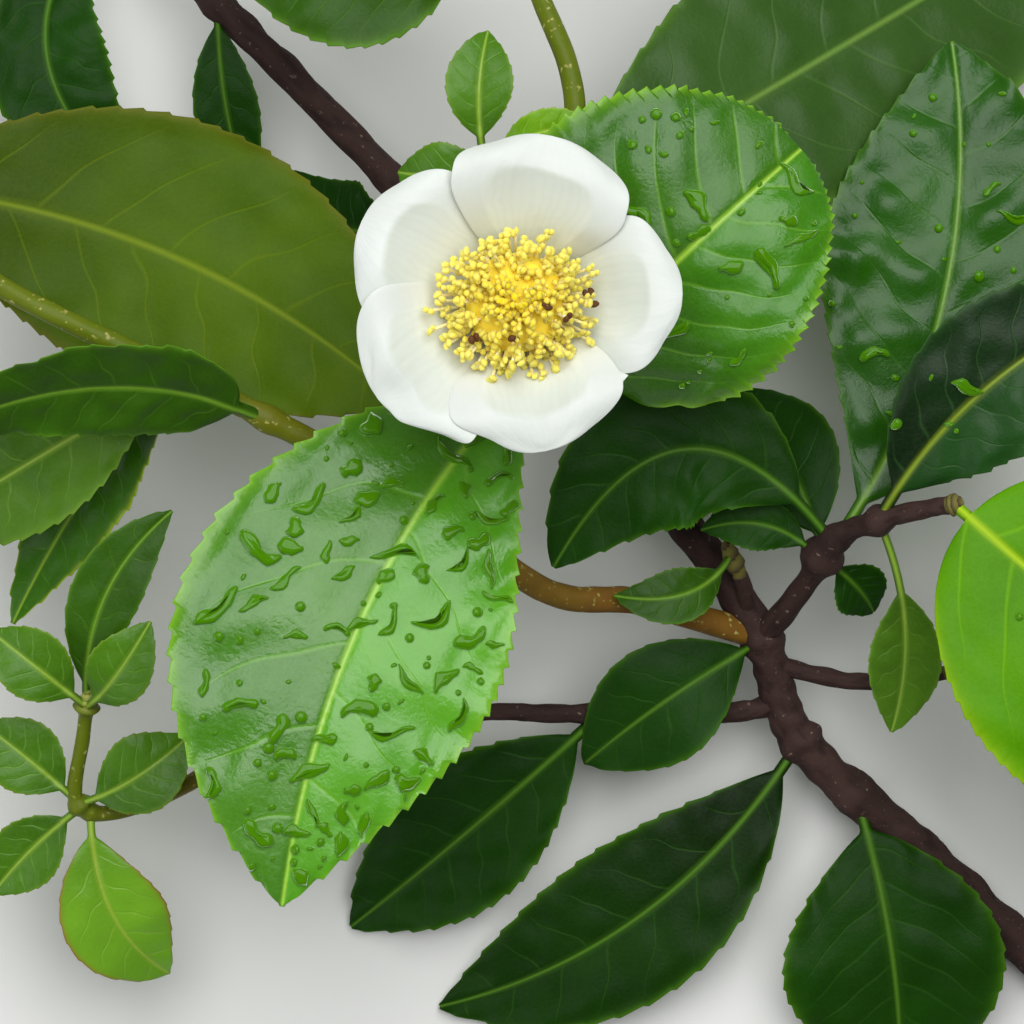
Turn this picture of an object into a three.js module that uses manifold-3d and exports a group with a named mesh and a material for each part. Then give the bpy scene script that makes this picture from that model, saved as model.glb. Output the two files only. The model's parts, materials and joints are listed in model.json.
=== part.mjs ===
// A cut branch of a tea bush, lying down with its one open flower facing up.
// Millimetres, +Z up. The branch is drawn round a point under the flower's stalk and is then
// moved, so that the origin is the middle of its underside.
import * as THREE from "three";
import { mergeVertices } from "three/addons/utils/BufferGeometryUtils.js";
import Module from "manifold-3d";

const wasm = await Module();
wasm.setup();

// driving dimensions
const GAP = 0.3; // left between neighbouring solids
const STEM_SIDES = 8;
const STEM_STEP = 6.5; // spacing of the rings along a stem
const LEAST_STEM_STEPS = 6;
const BUD_LENGTH = 4.5;
const BUD_SWELL = 1.45; // of the stem's radius
const BUD_SWELL_AT = 0.35; // share of the bud's length
const BUD_NECK_AT = 0.7; // where the bud has narrowed to the stem's radius again
const BUD_TIP = 0.25;

const PETIOLE_LENGTH = 4;
const PETIOLE_RADIUS = 0.75;
const BLADE_THICKNESS = 0.75;
const BLADE_STATIONS = 8;
const SMALL_LEAF = 30; // a shorter leaf has the smaller sizes below
const SMALL_PETIOLE_LENGTH = 2.4;
const SMALL_PETIOLE_RADIUS = 0.5;
const SMALL_BLADE_THICKNESS = 0.45;
const SMALL_BLADE_STATIONS = 7;
const KEEL = 0.25; // how far the midrib stands out under the blade
const TOOTH_DEPTH = 0.035; // of the half width
const TIP_HALF_WIDTH = 0.25;
const BLADE_START = 0.14; // share of the blade in which the round petiole flattens into it
const PETIOLE_THINNING = 0.6; // share of its radius that the petiole loses there
const SHOULDER = 0.55; // how far across each half the blade's section has a corner
const SHOULDER_THICKNESS = 0.9; // of the thickness at the midrib

const FLOWER = new THREE.Vector3(0.7, 24.8, 53.5); // the middle of the receptacle's top
const CUP_RADIUS = 19.5; // where the petals level out
const CUP_HEIGHT = 12;
const PETAL_ROOT = 3.2; // distance of a petal's foot from the middle
const PETAL_THICKNESS = 0.5;
const PETAL_LAYER = 0.95; // from one petal's middle surface to that of the next one up
const PETAL_STATIONS = 12;
const PETAL_COLUMNS = 8;
const PETAL_FOOT = 1.1; // half the width of a petal at its foot
const PETAL_BROADEST = 1.35; // a higher power of the way out is nearer the rim
const PETAL_FULLNESS = 0.62; // a lower power of the sine is fuller
const PETAL_BLUNTNESS = 0.985; // share of the way to a point at which the rim is cut off
const STALK_FOOT = new THREE.Vector3(5.9, 20.5, 36.2);
const STALK_RADIUS = 1.1;
const STALK_RISE = 4; // height of the stalk's elbow over its foot
const STALK_LEAN = new THREE.Vector3(0.6, -0.4, 0); // of the elbow, from under the flower
const STALK_STEPS = 5;
const CALYX_RADIUS = 5.6;
const CALYX_DEPTH = 3.4;
const CALYX_SIDES = 15;
const CALYX_PROFILE = [ // share of the radius, and height in mm under the petals' feet
  [0, -CALYX_DEPTH], [0.3, -CALYX_DEPTH], [0.75, -1.6], [1, 1.2], [0.91, 1.3], [0.62, -0.6],
  [0, -0.6],
];
const STAMEN_COUNT = 44;
const STAMEN_CORE_RADIUS = 1.5;
const STAMEN_CORE_HEIGHT = 2.5;
const STAMEN_CORE_LIFT = 1.1; // of the core's middle
const STAMEN_FOOT_LIFT = 1.6;
const STAMEN_FOOT_SPREAD = 0.75; // of the core's radius
const STAMEN_BEND = 0.16; // how far a stamen's middle hangs back, of its spread
const STAMEN_SPREAD = 8.8;
const STAMEN_REACH = 15.5; // height of the middle stamens over the receptacle
const STAMEN_DROOP = 3.5; // how much lower the outermost stamens end
const FILAMENT_RADIUS = 0.22;
const ANTHER_RADIUS = 0.6;
const GOLDEN_ANGLE = Math.PI * (3 - Math.sqrt(5));

// each stem: its radius at the root and at the tip, and points along its centre line
const STEMS = {
  main_stem: {
    finish: "bark",
    radius: [2.6, 1.6],
    path: [[75, -65, 2.7], [52.5, -43.5, 5], [36, -28.5, 9], [30, -14, 13], [17, 4, 16],
      [1, 22.5, 18], [-15, 41, 17], [-36.5, 63, 14], [-49, 75, 8.5], [-59, 84, 1]],
  },
  flower_shoot: {
    finish: "greenTwig",
    parent: "main_stem",
    radius: [1.7, 1.1],
    path: [[17, 4, 16], [10.5, 11, 26], [6.5, 19, 35], [5, 31, 39], [7.5, 48.5, 37],
      [3.5, 61.5, 34], [-1.5, 72.5, 30]],
  },
  young_shoot: {
    finish: "greenTwig",
    parent: "flower_shoot",
    radius: [0.9, 0.7],
    path: [[6, 39.5, 39], [1.5, 39.5, 40], [-4, 43.5, 39.5]],
  },
  left_shoot: {
    finish: "greenTwig",
    parent: "main_stem",
    radius: [1.7, 1.1],
    path: [[29.5, -15, 12.7], [15.5, -11, 20], [4, -9.5, 26], [-11, 1.5, 34], [-25, 9, 38],
      [-43, 18, 40], [-61, 27, 40], [-76, 38, 37], [-86, 46, 31]],
  },
  lower_left_shoot: {
    finish: "greenTwig",
    parent: "left_shoot",
    radius: [1.2, 0.8],
    path: [[-10, 0.8, 33.5], [-22, -15.5, 26], [-35.5, -30.5, 22], [-48, -36.5, 22],
      [-53, -35, 24], [-52, -27.5, 27], [-51, -21.5, 30]],
  },
  right_shoot: {
    finish: "bark",
    parent: "main_stem",
    radius: [1.6, 1],
    path: [[30.5, -16, 12.5], [35.5, -9.5, 20], [39, -3.5, 27], [44, -1, 33], [50, 0.5, 38],
      [53.5, 1, 40.5]],
  },
  lower_shoot: {
    finish: "bark",
    parent: "main_stem",
    radius: [1.4, 0.9],
    path: [[34, -23.5, 10.5], [26, -25, 11], [6, -25, 12], [-4, -25, 12], [-14, -28.5, 12]],
  },
  short_shoot: {
    finish: "bark",
    parent: "main_stem",
    radius: [1.2, 0.9],
    path: [[29, -12.5, 13.5], [28.5, -9, 17], [26, -3.5, 20.5]],
  },
  low_right_shoot: {
    finish: "bark",
    parent: "main_stem",
    radius: [1.2, 0.9],
    path: [[32.5, -19, 11.7], [44, -21, 14], [58, -19, 17]],
  },
};

// each leaf: its name, the stem it grows on and how far along that stem, the heading and pitch
// of the line from its foot to its tip, the length of that line, the half width, how far the
// midrib arches toward the upper face and sweeps to the right of the line, the roll of the
// face about the line, the fold and the curl of the two halves in degrees, and the finish
const LEAVES = [
  ["leaf_front_low", "flower_shoot", 0.355, -116.4, 12.1, 75.7, 19.6, 6.2, 6.7, 0, 3, 8, "leaf"],
  ["leaf_front_high", "flower_shoot", 0.3, 43.5, 18, 39, 19.4, 9, -0.4, 0, 4, 13, "leaf"],
  ["leaf_left_turned", "left_shoot", 0.89, -22, 1, 69, 16.5, 6.1, 6, 180, 4, 10, "leafUnder"],
  ["leaf_left_folded", "left_shoot", 0.53, -176, 11, 42, 6.8, 1.3, 7.2, -38, 8, 6, "leaf"],
  ["leaf_left_pale", "left_shoot", 0.6, -150, -16, 41, 8, 0.6, 0.3, 0, 6, 6, "leaf"],
  ["leaf_left_curved", "left_shoot", 0.595, -127, -23, 40, 6, -3.7, 3.8, 20, 8, 6, "leaf"],
  ["leaf_low_a", "lower_left_shoot", 0.945, 66, 7, 26, 4.3, 1.5, -3.2, 0, 10, 6, "leafYoung"],
  ["leaf_low_b", "lower_left_shoot", 0.943, 52, 28, 15, 4, 2.8, 0.7, 0, 10, 6, "leafYoung"],
  ["leaf_low_c", "lower_left_shoot", 0.943, 141, 12, 15, 4.3, 2.5, 0.2, 0, 10, 6, "leafYoung"],
  ["leaf_low_d", "lower_left_shoot", 0.657, 140, 8, 15, 4.6, 1, 0.3, 0, 10, 6, "leafYoung"],
  ["leaf_low_e", "lower_left_shoot", 0.645, 32, 8, 16, 4.9, 2.1, 0.9, 0, 10, 6, "leafYoung"],
  ["leaf_low_f", "lower_left_shoot", 0.627, -136, -12, 16, 4.3, 0.4, 0.6, 0, 10, 6, "leafYoung"],
  ["leaf_low_g", "lower_left_shoot", 0.585, -66, -21, 24, 6.6, 2.7, 2.8, 0, 12, 6, "leafYoung"],
  ["leaf_right_dark", "right_shoot", 0.6, 41, 9, 41, 9.3, 6.5, -3.9, 0, 8, 6, "leafDark"],
  ["leaf_right_bright", "right_shoot", 0.938, -38, -14, 54, 20, 9, 1.2, 0, 6, 8, "leafYoung"],
  ["leaf_right_upright", "right_shoot", 0.43, 77, -4, 62, 15.8, 2, 5.8, 0, 6, 8, "leaf"],
  ["leaf_upper_right", "flower_shoot", 0.547, 32, -25.1, 90, 17.5, 1.8, 0.4, 0, 4, 6, "leafDark"],
  ["leaf_mid_right", "right_shoot", 0.39, -175, 4, 34, 9.5, 3.2, 12.8, 0, 6, 6, "leafDark"],
  ["leaf_mid_round", "right_shoot", 0.34, 116, -22, 24, 6.6, 2.2, 1.1, 0, 6, 6, "leafDark"],
  ["leaf_mid_small", "right_shoot", 0.313, 166, 4, 15, 3.3, 1.4, 2.5, 0, 6, 6, "leafDark"],
  ["leaf_mid_olive", "short_shoot", 0.85, -161, 18, 16, 3.4, 2.6, -2.6, 0, 6, 6, "leafDark"],
  ["leaf_lower_mid", "main_stem", 0.32, -145, -5, 27, 7.4, 5.5, 0.9, 0, 6, 6, "leafDark"],
  ["leaf_right_pale", "right_shoot", 0.6, -85, -22, 28, 4.5, 0, -2.4, 0, 8, 6, "leafYoung"],
  ["leaf_right_small", "right_shoot", 0.323, -45, -30, 11, 3.6, 1, -0.6, 0, 8, 6, "leafDark"],
  ["leaf_bottom_left", "lower_shoot", 0.432, -139, -15, 43, 9.2, 2.6, -0.3, 0, 6, 6, "leafDark"],
  ["leaf_bottom_mid", "main_stem", 0.223, -143, -8.4, 57, 10, 3.8, -5.5, 0, 6, 6, "leafDark"],
  ["leaf_bottom_right", "main_stem", 0.168, -81, -9.6, 38, 14, 5.1, -1.2, 0, 6, 6, "leafDark"],
  ["leaf_top", "flower_shoot", 0.995, -173, 5, 33, 14, 4.7, -0.7, 0, 6, 6, "leaf"],
  ["leaf_young_a", "young_shoot", 0.96, 87, 2, 14, 4.1, 2.3, -0.7, 0, 12, 4, "leafYoung"],
  ["leaf_young_b", "young_shoot", 0.85, 17, 11, 13, 2.7, 1.3, -0.9, 0, 12, 4, "leafYoung"],
  ["leaf_young_c", "young_shoot", 0.8, -174, -8, 12, 3.9, 2.2, -1, 0, 12, 4, "leafYoung"],
  ["leaf_back_left", "main_stem", 0.9, -82, 6, 38, 7.5, 6.2, 9.9, 0, 8, 6, "leafDark"],
  ["leaf_back_mid", "main_stem", 0.777, -81, -10, 24, 4.1, 2, 1, 0, 8, 6, "leafDark"],
  ["leaf_back_low", "main_stem", 0.645, 161, -29, 19, 6, -1.2, -4.8, 0, 8, 6, "leafDark"],
  ["leaf_left_end", "left_shoot", 0.995, 165, -14, 34, 8, 3, 1, 0, 8, 6, "leaf"],
  ["leaf_left_end_low", "left_shoot", 0.97, -140, -20, 30, 8, 3, 1, 0, 8, 6, "leafDark"],
  ["leaf_back_end", "main_stem", 0.985, 175, 8, 30, 8, 3, 1, 0, 8, 6, "leafDark"],
  ["leaf_top_right", "flower_shoot", 0.93, 20, -4, 30, 8, 4, 1, 0, 8, 6, "leaf"],
  ["leaf_lower_end", "lower_shoot", 0.98, -165, -10, 26, 6.5, 3, 1, 0, 8, 6, "leafDark"],
  ["leaf_right_low", "low_right_shoot", 0.98, -5, -6, 34, 9, 4, 1, 0, 8, 6, "leafDark"],
];

// Where a leaf differs from the common form: the teeth that its outline has on each side, how
// full its ends are (a lower power of the sine is fuller), where it is broadest (a lower power
// of the way along is nearer the foot), how much wider its right half is than its left, as a
// share of the half width, and its petiole's length
const COMMON_FORM = { teeth: 0, fullness: 0.8, broadest: 1, lop: 0, petiole: PETIOLE_LENGTH };
const SMALL_FORM = { ...COMMON_FORM, petiole: SMALL_PETIOLE_LENGTH };
const OWN_FORMS = {
  leaf_front_low: { teeth: 22, fullness: 0.9, broadest: 1.2, lop: 0.08 },
  leaf_front_high: { teeth: 20, fullness: 0.4, broadest: 0.94, lop: -0.12, petiole: 2.5 },
  leaf_left_turned: { fullness: 0.66, broadest: 1.05 },
  leaf_left_folded: { fullness: 0.7, broadest: 0.68 },
  leaf_right_bright: { fullness: 0.55, broadest: 0.85, petiole: 2 },
  leaf_right_upright: { broadest: 1.15 },
  leaf_upper_right: { fullness: 0.65 },
  leaf_top: { fullness: 0.6 },
  leaf_mid_right: { fullness: 0.7 },
  leaf_right_pale: { petiole: 9.5 },
  leaf_young_a: { petiole: 1.2 },
  leaf_young_b: { petiole: 1.2 },
  leaf_young_c: { petiole: 1.2 },
};

// each petal: its heading, its reach from the middle, half its width, its layer, and how far
// its two sides rise off the cup
const PETALS = {
  petal_right: { heading: 0, reach: 18.7, half: 8.9, layer: 0, spoon: 0.2 },
  petal_upper_left: { heading: 155, reach: 19.8, half: 9.4, layer: 0, spoon: 0.2 },
  petal_top: { heading: 78, reach: 18.4, half: 10.5, layer: 1, spoon: 1 },
  petal_lower_left: { heading: 217, reach: 20, half: 10.2, layer: 1, spoon: 1 },
  petal_bottom: { heading: 280, reach: 18.2, half: 10.4, layer: 2, spoon: 1.4 },
};

const FINISHES = {
  bark: { color: 0x5b4341, roughness: 0.85 },
  greenTwig: { color: 0x8a8a2a, roughness: 0.6 },
  leaf: { color: 0x3f8a34, roughness: 0.4 },
  leafDark: { color: 0x1f4f25, roughness: 0.4 },
  leafYoung: { color: 0x6aa832, roughness: 0.4 },
  leafUnder: { color: 0x6f8a25, roughness: 0.65 },
  petal: { color: 0xeef0ea, roughness: 0.7 },
  stamen: { color: 0xf3c93a, roughness: 0.7 },
  calyx: { color: 0x7f9a45, roughness: 0.6 },
};

const UP = new THREE.Vector3(0, 0, 1);
const radians = THREE.MathUtils.degToRad;
const vector = (numbers) => new THREE.Vector3(...numbers);

// A solid through rings of equal length, each a list of points that runs clockwise about the
// way the rings follow one another, with a fan of triangles over both ends. The quads between
// two rings are split along their shorter diagonals, so that the two sides of a thin blade
// are split alike.
function loft(rings) {
  const around = rings[0].length;
  const points = rings.flat();
  const positions = points.flatMap((p) => p.toArray());
  const index = [];
  for (let i = 0; i + 1 < rings.length; i++) {
    for (let j = 0; j < around; j++) {
      const a = i * around + j;
      const b = i * around + ((j + 1) % around);
      const c = a + around;
      const d = b + around;
      const shorter = points[a].distanceTo(points[d]) <= points[b].distanceTo(points[c]);
      index.push(...(shorter ? [a, d, b, a, c, d] : [a, c, b, b, c, d]));
    }
  }
  for (const end of [0, rings.length - 1]) {
    const middle = new THREE.Vector3();
    rings[end].forEach((p) => middle.addScaledVector(p, 1 / around));
    const centre = positions.length / 3;
    positions.push(...middle.toArray());
    for (let j = 0; j < around; j++) {
      const a = end * around + j;
      const b = end * around + ((j + 1) % around);
      index.push(centre, ...(end === 0 ? [a, b] : [b, a]));
    }
  }
  const geometry = new THREE.BufferGeometry();
  geometry.setAttribute("position", new THREE.Float32BufferAttribute(positions, 3));
  return geometry.setIndex(index);
}

// The solid that manifold-3d joins and cuts, from a closed geometry.
function toSolid(geometry) {
  const bare = geometry.clone();
  bare.deleteAttribute("normal");
  bare.deleteAttribute("uv");
  const merged = mergeVertices(bare, 1e-4);
  return new wasm.Manifold(new wasm.Mesh({
    numProp: 3,
    vertProperties: new Float32Array(merged.attributes.position.array),
    triVerts: new Uint32Array(merged.index.array),
  }));
}

// A geometry with flat faces, from a solid.
function toGeometry(solid) {
  const mesh = solid.getMesh();
  const geometry = new THREE.BufferGeometry();
  geometry.setAttribute("position", new THREE.BufferAttribute(mesh.vertProperties, 3));
  return geometry.setIndex(new THREE.BufferAttribute(mesh.triVerts, 1));
}

// Stems

const stemCurves = Object.fromEntries(Object.entries(STEMS).map(([name, stem]) => [
  name,
  new THREE.CatmullRomCurve3(stem.path.map(vector), false, "catmullrom", 0.5),
]));

// The round ring of one station, square to the stem.
function ringAt(centre, tangent, radius, sides, reference = UP) {
  const side = new THREE.Vector3().crossVectors(tangent, reference).normalize();
  const lift = new THREE.Vector3().crossVectors(side, tangent);
  return Array.from({ length: sides }, (_, j) => {
    const angle = (2 * Math.PI * j) / sides;
    return centre.clone()
      .addScaledVector(side, radius * Math.cos(angle))
      .addScaledVector(lift, radius * Math.sin(angle));
  });
}

// A tapering stem. It ends in a small pointed bud, and extra thickens it all along.
function stemGeometry(name, extra = 0) {
  const { radius } = STEMS[name];
  const curve = stemCurves[name];
  const length = curve.getLength();
  const steps = Math.max(LEAST_STEM_STEPS, Math.round(length / STEM_STEP));
  const budStart = 1 - BUD_LENGTH / length;
  const stations = Array.from({ length: steps + 1 }, (_, i) => (budStart * i) / steps);
  const rings = stations.map((t) =>
    ringAt(curve.getPoint(t), curve.getTangent(t),
      THREE.MathUtils.lerp(radius[0], radius[1], t) + extra, STEM_SIDES));
  const bud = [[BUD_SWELL_AT, BUD_SWELL * radius[1]], [BUD_NECK_AT, radius[1]], [1, BUD_TIP]];
  for (const [share, size] of bud) {
    const t = budStart + (1 - budStart) * share;
    rings.push(ringAt(curve.getPoint(t), curve.getTangent(t), size + extra, STEM_SIDES));
  }
  return loft(rings);
}

// A stem cut back so that it starts clear of the stem that bears it.
function stemSolid(name) {
  const solid = toSolid(stemGeometry(name));
  const { parent } = STEMS[name];
  return parent ? solid.subtract(toSolid(stemGeometry(parent, GAP))) : solid;
}

// Leaves

// The midrib is a parabola from the foot to the tip. Its frame at every point is the way
// along it, the side to its right and the upper face.
function midrib(leaf) {
  const foot = stemCurves[leaf.stem].getPoint(leaf.along);
  const heading = radians(leaf.heading);
  const pitch = radians(leaf.pitch);
  const chord = new THREE.Vector3(
    Math.cos(heading) * Math.cos(pitch), Math.sin(heading) * Math.cos(pitch), Math.sin(pitch));
  const level = new THREE.Vector3().crossVectors(chord, UP).normalize();
  const face = new THREE.Vector3().crossVectors(level, chord)
    .applyAxisAngle(chord, radians(leaf.roll));
  const side = new THREE.Vector3().crossVectors(chord, face);
  const tip = foot.clone().addScaledVector(chord, leaf.length);
  const middle = foot.clone().lerp(tip, 0.5)
    .addScaledVector(face, 2 * leaf.arch)
    .addScaledVector(side, 2 * leaf.sweep);
  const curve = new THREE.QuadraticBezierCurve3(foot, middle, tip);
  return (u) => {
    const along = curve.getTangent(u);
    const right = new THREE.Vector3().crossVectors(along, face).normalize();
    return { point: curve.getPoint(u), right, face: new THREE.Vector3().crossVectors(right, along) };
  };
}

// Half the blade's width, q of the way from its foot to its tip.
function bladeHalfWidth(leaf, q) {
  return leaf.half * Math.sin(Math.PI * Math.min(q, 0.9999) ** leaf.broadest) ** leaf.fullness;
}

// The eight-sided section of a leaf: round at the petiole, and in the blade a thin lens that
// is folded along the midrib and curls down to its two sharp margins.
function leafSection(leaf, frame, q, tooth) {
  const blend = THREE.MathUtils.smoothstep(q, 0, BLADE_START);
  const width = Math.max(leaf.petioleRadius * (1 - PETIOLE_THINNING * blend),
    bladeHalfWidth(leaf, q) * tooth, TIP_HALF_WIDTH);
  const thick = THREE.MathUtils.lerp(leaf.petioleRadius, leaf.thickness / 2, blend);
  const fold = radians(leaf.fold) * blend;
  const curl = radians(leaf.curl) * blend;
  const outer = THREE.MathUtils.lerp(Math.SQRT1_2, SHOULDER, blend);
  const waist = thick * THREE.MathUtils.lerp(Math.SQRT1_2, SHOULDER_THICKNESS, blend);
  const place = (share, lift) => {
    const reach = width * Math.abs(share) * (1 + leaf.lop * Math.sign(share) * blend);
    const slope = fold - (curl * Math.abs(share)) / 2;
    return frame.point.clone()
      .addScaledVector(frame.right, Math.sign(share) * reach * Math.cos(slope))
      .addScaledVector(frame.face, reach * Math.sin(slope) + lift);
  };
  return [
    place(1, 0), place(outer, waist), place(0, thick), place(-outer, waist),
    place(-1, 0), place(-outer, -waist), place(0, -thick - KEEL * blend), place(outer, -waist),
  ];
}

function leafGeometry(leaf) {
  const frameAt = midrib(leaf);
  const { teeth } = leaf;
  const petiole = leaf.petiole / leaf.length;
  const stations = teeth ? 2 * teeth : leaf.stations;
  const rings = [0, petiole / 2].map((u) => leafSection(leaf, frameAt(u), 0, 1));
  for (let i = 0; i <= stations; i++) {
    const share = i / stations;
    const q = teeth ? share : (1 - Math.cos(Math.PI * share)) / 2;
    const tooth = teeth && i % 2 ? 1 + TOOTH_DEPTH : 1;
    rings.push(leafSection(leaf, frameAt(petiole + (1 - petiole) * q), q, tooth));
  }
  return loft(rings);
}

function leafSolid(leaf) {
  return toSolid(leafGeometry(leaf)).subtract(toSolid(stemGeometry(leaf.stem, GAP)));
}

function leafFromRow(row) {
  const [name, stem, along, heading, pitch, length, half, arch, sweep, roll, fold, curl,
    finish] = row;
  const small = length < SMALL_LEAF;
  return {
    name, stem, along, heading, pitch, length, half, arch, sweep, roll, fold, curl, finish,
    ...(small ? SMALL_FORM : COMMON_FORM),
    ...OWN_FORMS[name],
    petioleRadius: small ? SMALL_PETIOLE_RADIUS : PETIOLE_RADIUS,
    thickness: small ? SMALL_BLADE_THICKNESS : BLADE_THICKNESS,
    stations: small ? SMALL_BLADE_STATIONS : BLADE_STATIONS,
  };
}

// Flower

// All petals lie on one cup, each on its own layer: the height of the cup's inner side at a
// distance from the middle, as a parabola that levels out at the cup's radius.
function cupPoint(x, y, lift) {
  const reach = Math.hypot(x, y);
  const share = 1 - (reach - PETAL_ROOT) / (CUP_RADIUS - PETAL_ROOT);
  const slope = (2 * CUP_HEIGHT * share) / (CUP_RADIUS - PETAL_ROOT);
  const norm = Math.hypot(1, slope);
  const inward = 1 - (lift * slope) / norm / reach;
  return FLOWER.clone().add(
    new THREE.Vector3(x * inward, y * inward, CUP_HEIGHT * (1 - share * share) + lift / norm));
}

// A petal's half width, q of the way from its foot to its rim: narrow at the foot, broadest
// two thirds of the way out and blunt at the rim.
function petalHalfWidth(petal, q) {
  const way = Math.min(PETAL_BLUNTNESS, q) ** PETAL_BROADEST;
  return PETAL_FOOT + (petal.half - PETAL_FOOT) * Math.sin(Math.PI * way) ** PETAL_FULLNESS;
}

function petalGeometry(petal) {
  const heading = radians(petal.heading);
  const rings = Array.from({ length: PETAL_STATIONS + 1 }, (_, i) => {
    const q = (1 - Math.cos((Math.PI * i) / PETAL_STATIONS)) / 2;
    const out = PETAL_ROOT + (petal.reach - PETAL_ROOT) * q;
    const half = petalHalfWidth(petal, q);
    const lift = (side, share) =>
      petal.layer * PETAL_LAYER + petal.spoon * q * share * share +
      (side * PETAL_THICKNESS * (1 - share ** 6)) / 2;
    const place = (share, side) => {
      const across = -half * share;
      const x = out * Math.cos(heading) - across * Math.sin(heading);
      const y = out * Math.sin(heading) + across * Math.cos(heading);
      return cupPoint(x, y, lift(side, share));
    };
    const shares = Array.from({ length: PETAL_COLUMNS }, (_, j) => 1 - (2 * j) / PETAL_COLUMNS);
    return [...shares.map((s) => place(s, 1)), ...shares.map((s) => place(-s, -1))];
  });
  return loft(rings);
}

// The green cup under the petals, turned about the flower's axis.
function calyxGeometry() {
  const profile = CALYX_PROFILE.map(([share, z]) => new THREE.Vector2(share * CALYX_RADIUS, z));
  const geometry = new THREE.LatheGeometry(profile, CALYX_SIDES);
  return geometry.rotateX(Math.PI / 2).translate(...FLOWER.toArray());
}

// The stalk from the shoot up into the calyx.
function stalkSolid() {
  const head = FLOWER.clone().add(new THREE.Vector3(0, 0, -CALYX_DEPTH - GAP));
  const elbow = new THREE.Vector3(head.x, head.y, STALK_FOOT.z + STALK_RISE).add(STALK_LEAN);
  const curve = new THREE.QuadraticBezierCurve3(STALK_FOOT, elbow, head);
  const rings = Array.from({ length: STALK_STEPS + 1 }, (_, i) => {
    const t = i / STALK_STEPS;
    return ringAt(curve.getPoint(t), curve.getTangent(t), STALK_RADIUS, STEM_SIDES,
      new THREE.Vector3(0, 1, 0));
  });
  return toSolid(loft(rings)).subtract(toSolid(stemGeometry("flower_shoot", GAP)));
}

// The stamens stand on a small round core and spread as the seeds of a sunflower do: each
// rises from the core, leans outward and ends in a yellow anther.
function stamenSolid() {
  const core = new THREE.CylinderGeometry(
    STAMEN_CORE_RADIUS, STAMEN_CORE_RADIUS, STAMEN_CORE_HEIGHT, 12);
  core.rotateX(Math.PI / 2).translate(FLOWER.x, FLOWER.y, FLOWER.z + STAMEN_CORE_LIFT);
  let solid = toSolid(core);
  for (let i = 0; i < STAMEN_COUNT; i++) {
    const share = Math.sqrt((i + 0.5) / STAMEN_COUNT);
    const angle = GOLDEN_ANGLE * i;
    const out = new THREE.Vector3(Math.cos(angle), Math.sin(angle), 0);
    const foot = FLOWER.clone()
      .addScaledVector(out, STAMEN_FOOT_SPREAD * STAMEN_CORE_RADIUS * share)
      .addScaledVector(UP, STAMEN_FOOT_LIFT);
    const head = FLOWER.clone().addScaledVector(out, STAMEN_SPREAD * share)
      .addScaledVector(UP, STAMEN_REACH - STAMEN_DROOP * share * share);
    const knee = foot.clone().lerp(head, 0.5)
      .addScaledVector(out, -STAMEN_BEND * STAMEN_SPREAD * share);
    const curve = new THREE.QuadraticBezierCurve3(foot, knee, head);
    const reference = new THREE.Vector3(-out.y, out.x, 0);
    const rings = [0, 0.5, 1].map((t) =>
      ringAt(curve.getPoint(t), curve.getTangent(t), FILAMENT_RADIUS, 3, reference));
    const anther = new THREE.OctahedronGeometry(ANTHER_RADIUS).translate(...head.toArray());
    solid = solid.add(toSolid(loft(rings))).add(toSolid(anther));
  }
  return solid;
}

// Assembly

const branch = new THREE.Group();

function place(name, geometry, finish) {
  const material = new THREE.MeshStandardMaterial({ ...FINISHES[finish], metalness: 0 });
  const mesh = new THREE.Mesh(geometry, material);
  mesh.name = name;
  branch.add(mesh);
}

for (const [name, stem] of Object.entries(STEMS)) {
  place(name, toGeometry(stemSolid(name)), stem.finish);
}
for (const leaf of LEAVES.map(leafFromRow)) {
  place(leaf.name, toGeometry(leafSolid(leaf)), leaf.finish);
}
for (const [name, petal] of Object.entries(PETALS)) {
  place(name, petalGeometry(petal), "petal");
}
place("calyx", toGeometry(toSolid(calyxGeometry())), "calyx");
place("flower_stalk", toGeometry(stalkSolid()), "greenTwig");
place("stamens", toGeometry(stamenSolid()), "stamen");

const box = new THREE.Box3().setFromObject(branch);
const middle = box.getCenter(new THREE.Vector3());
branch.position.set(-middle.x, -middle.y, -box.min.z);

export default branch;
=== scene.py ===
# %% [markdown]
# # A cut branch of a tea bush
#
# The branch lies on a pale table with its one open flower facing up, and the camera looks
# straight down on it. The packed solids give every stem, leaf and petal its place and size.
# This script dresses them: each solid is replaced by a finer surface that follows the same
# curves, and every surface is worked out with numpy as one grid of points.

# %% Load the frame
import json
import time

import bpy
import mathutils
import numpy as np
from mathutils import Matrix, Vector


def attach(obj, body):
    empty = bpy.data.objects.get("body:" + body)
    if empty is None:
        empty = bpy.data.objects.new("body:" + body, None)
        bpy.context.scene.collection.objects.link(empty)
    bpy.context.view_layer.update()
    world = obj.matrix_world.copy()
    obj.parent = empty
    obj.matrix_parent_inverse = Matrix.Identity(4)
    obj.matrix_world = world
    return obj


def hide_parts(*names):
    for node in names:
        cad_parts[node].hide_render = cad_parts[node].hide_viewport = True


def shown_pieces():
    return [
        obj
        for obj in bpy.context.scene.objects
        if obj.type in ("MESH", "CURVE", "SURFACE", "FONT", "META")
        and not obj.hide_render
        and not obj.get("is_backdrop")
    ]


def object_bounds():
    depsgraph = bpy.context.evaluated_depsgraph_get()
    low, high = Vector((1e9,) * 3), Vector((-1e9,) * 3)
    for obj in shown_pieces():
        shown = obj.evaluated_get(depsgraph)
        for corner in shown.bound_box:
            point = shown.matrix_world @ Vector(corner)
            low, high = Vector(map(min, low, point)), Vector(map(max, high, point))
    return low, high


started = time.time()
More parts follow.
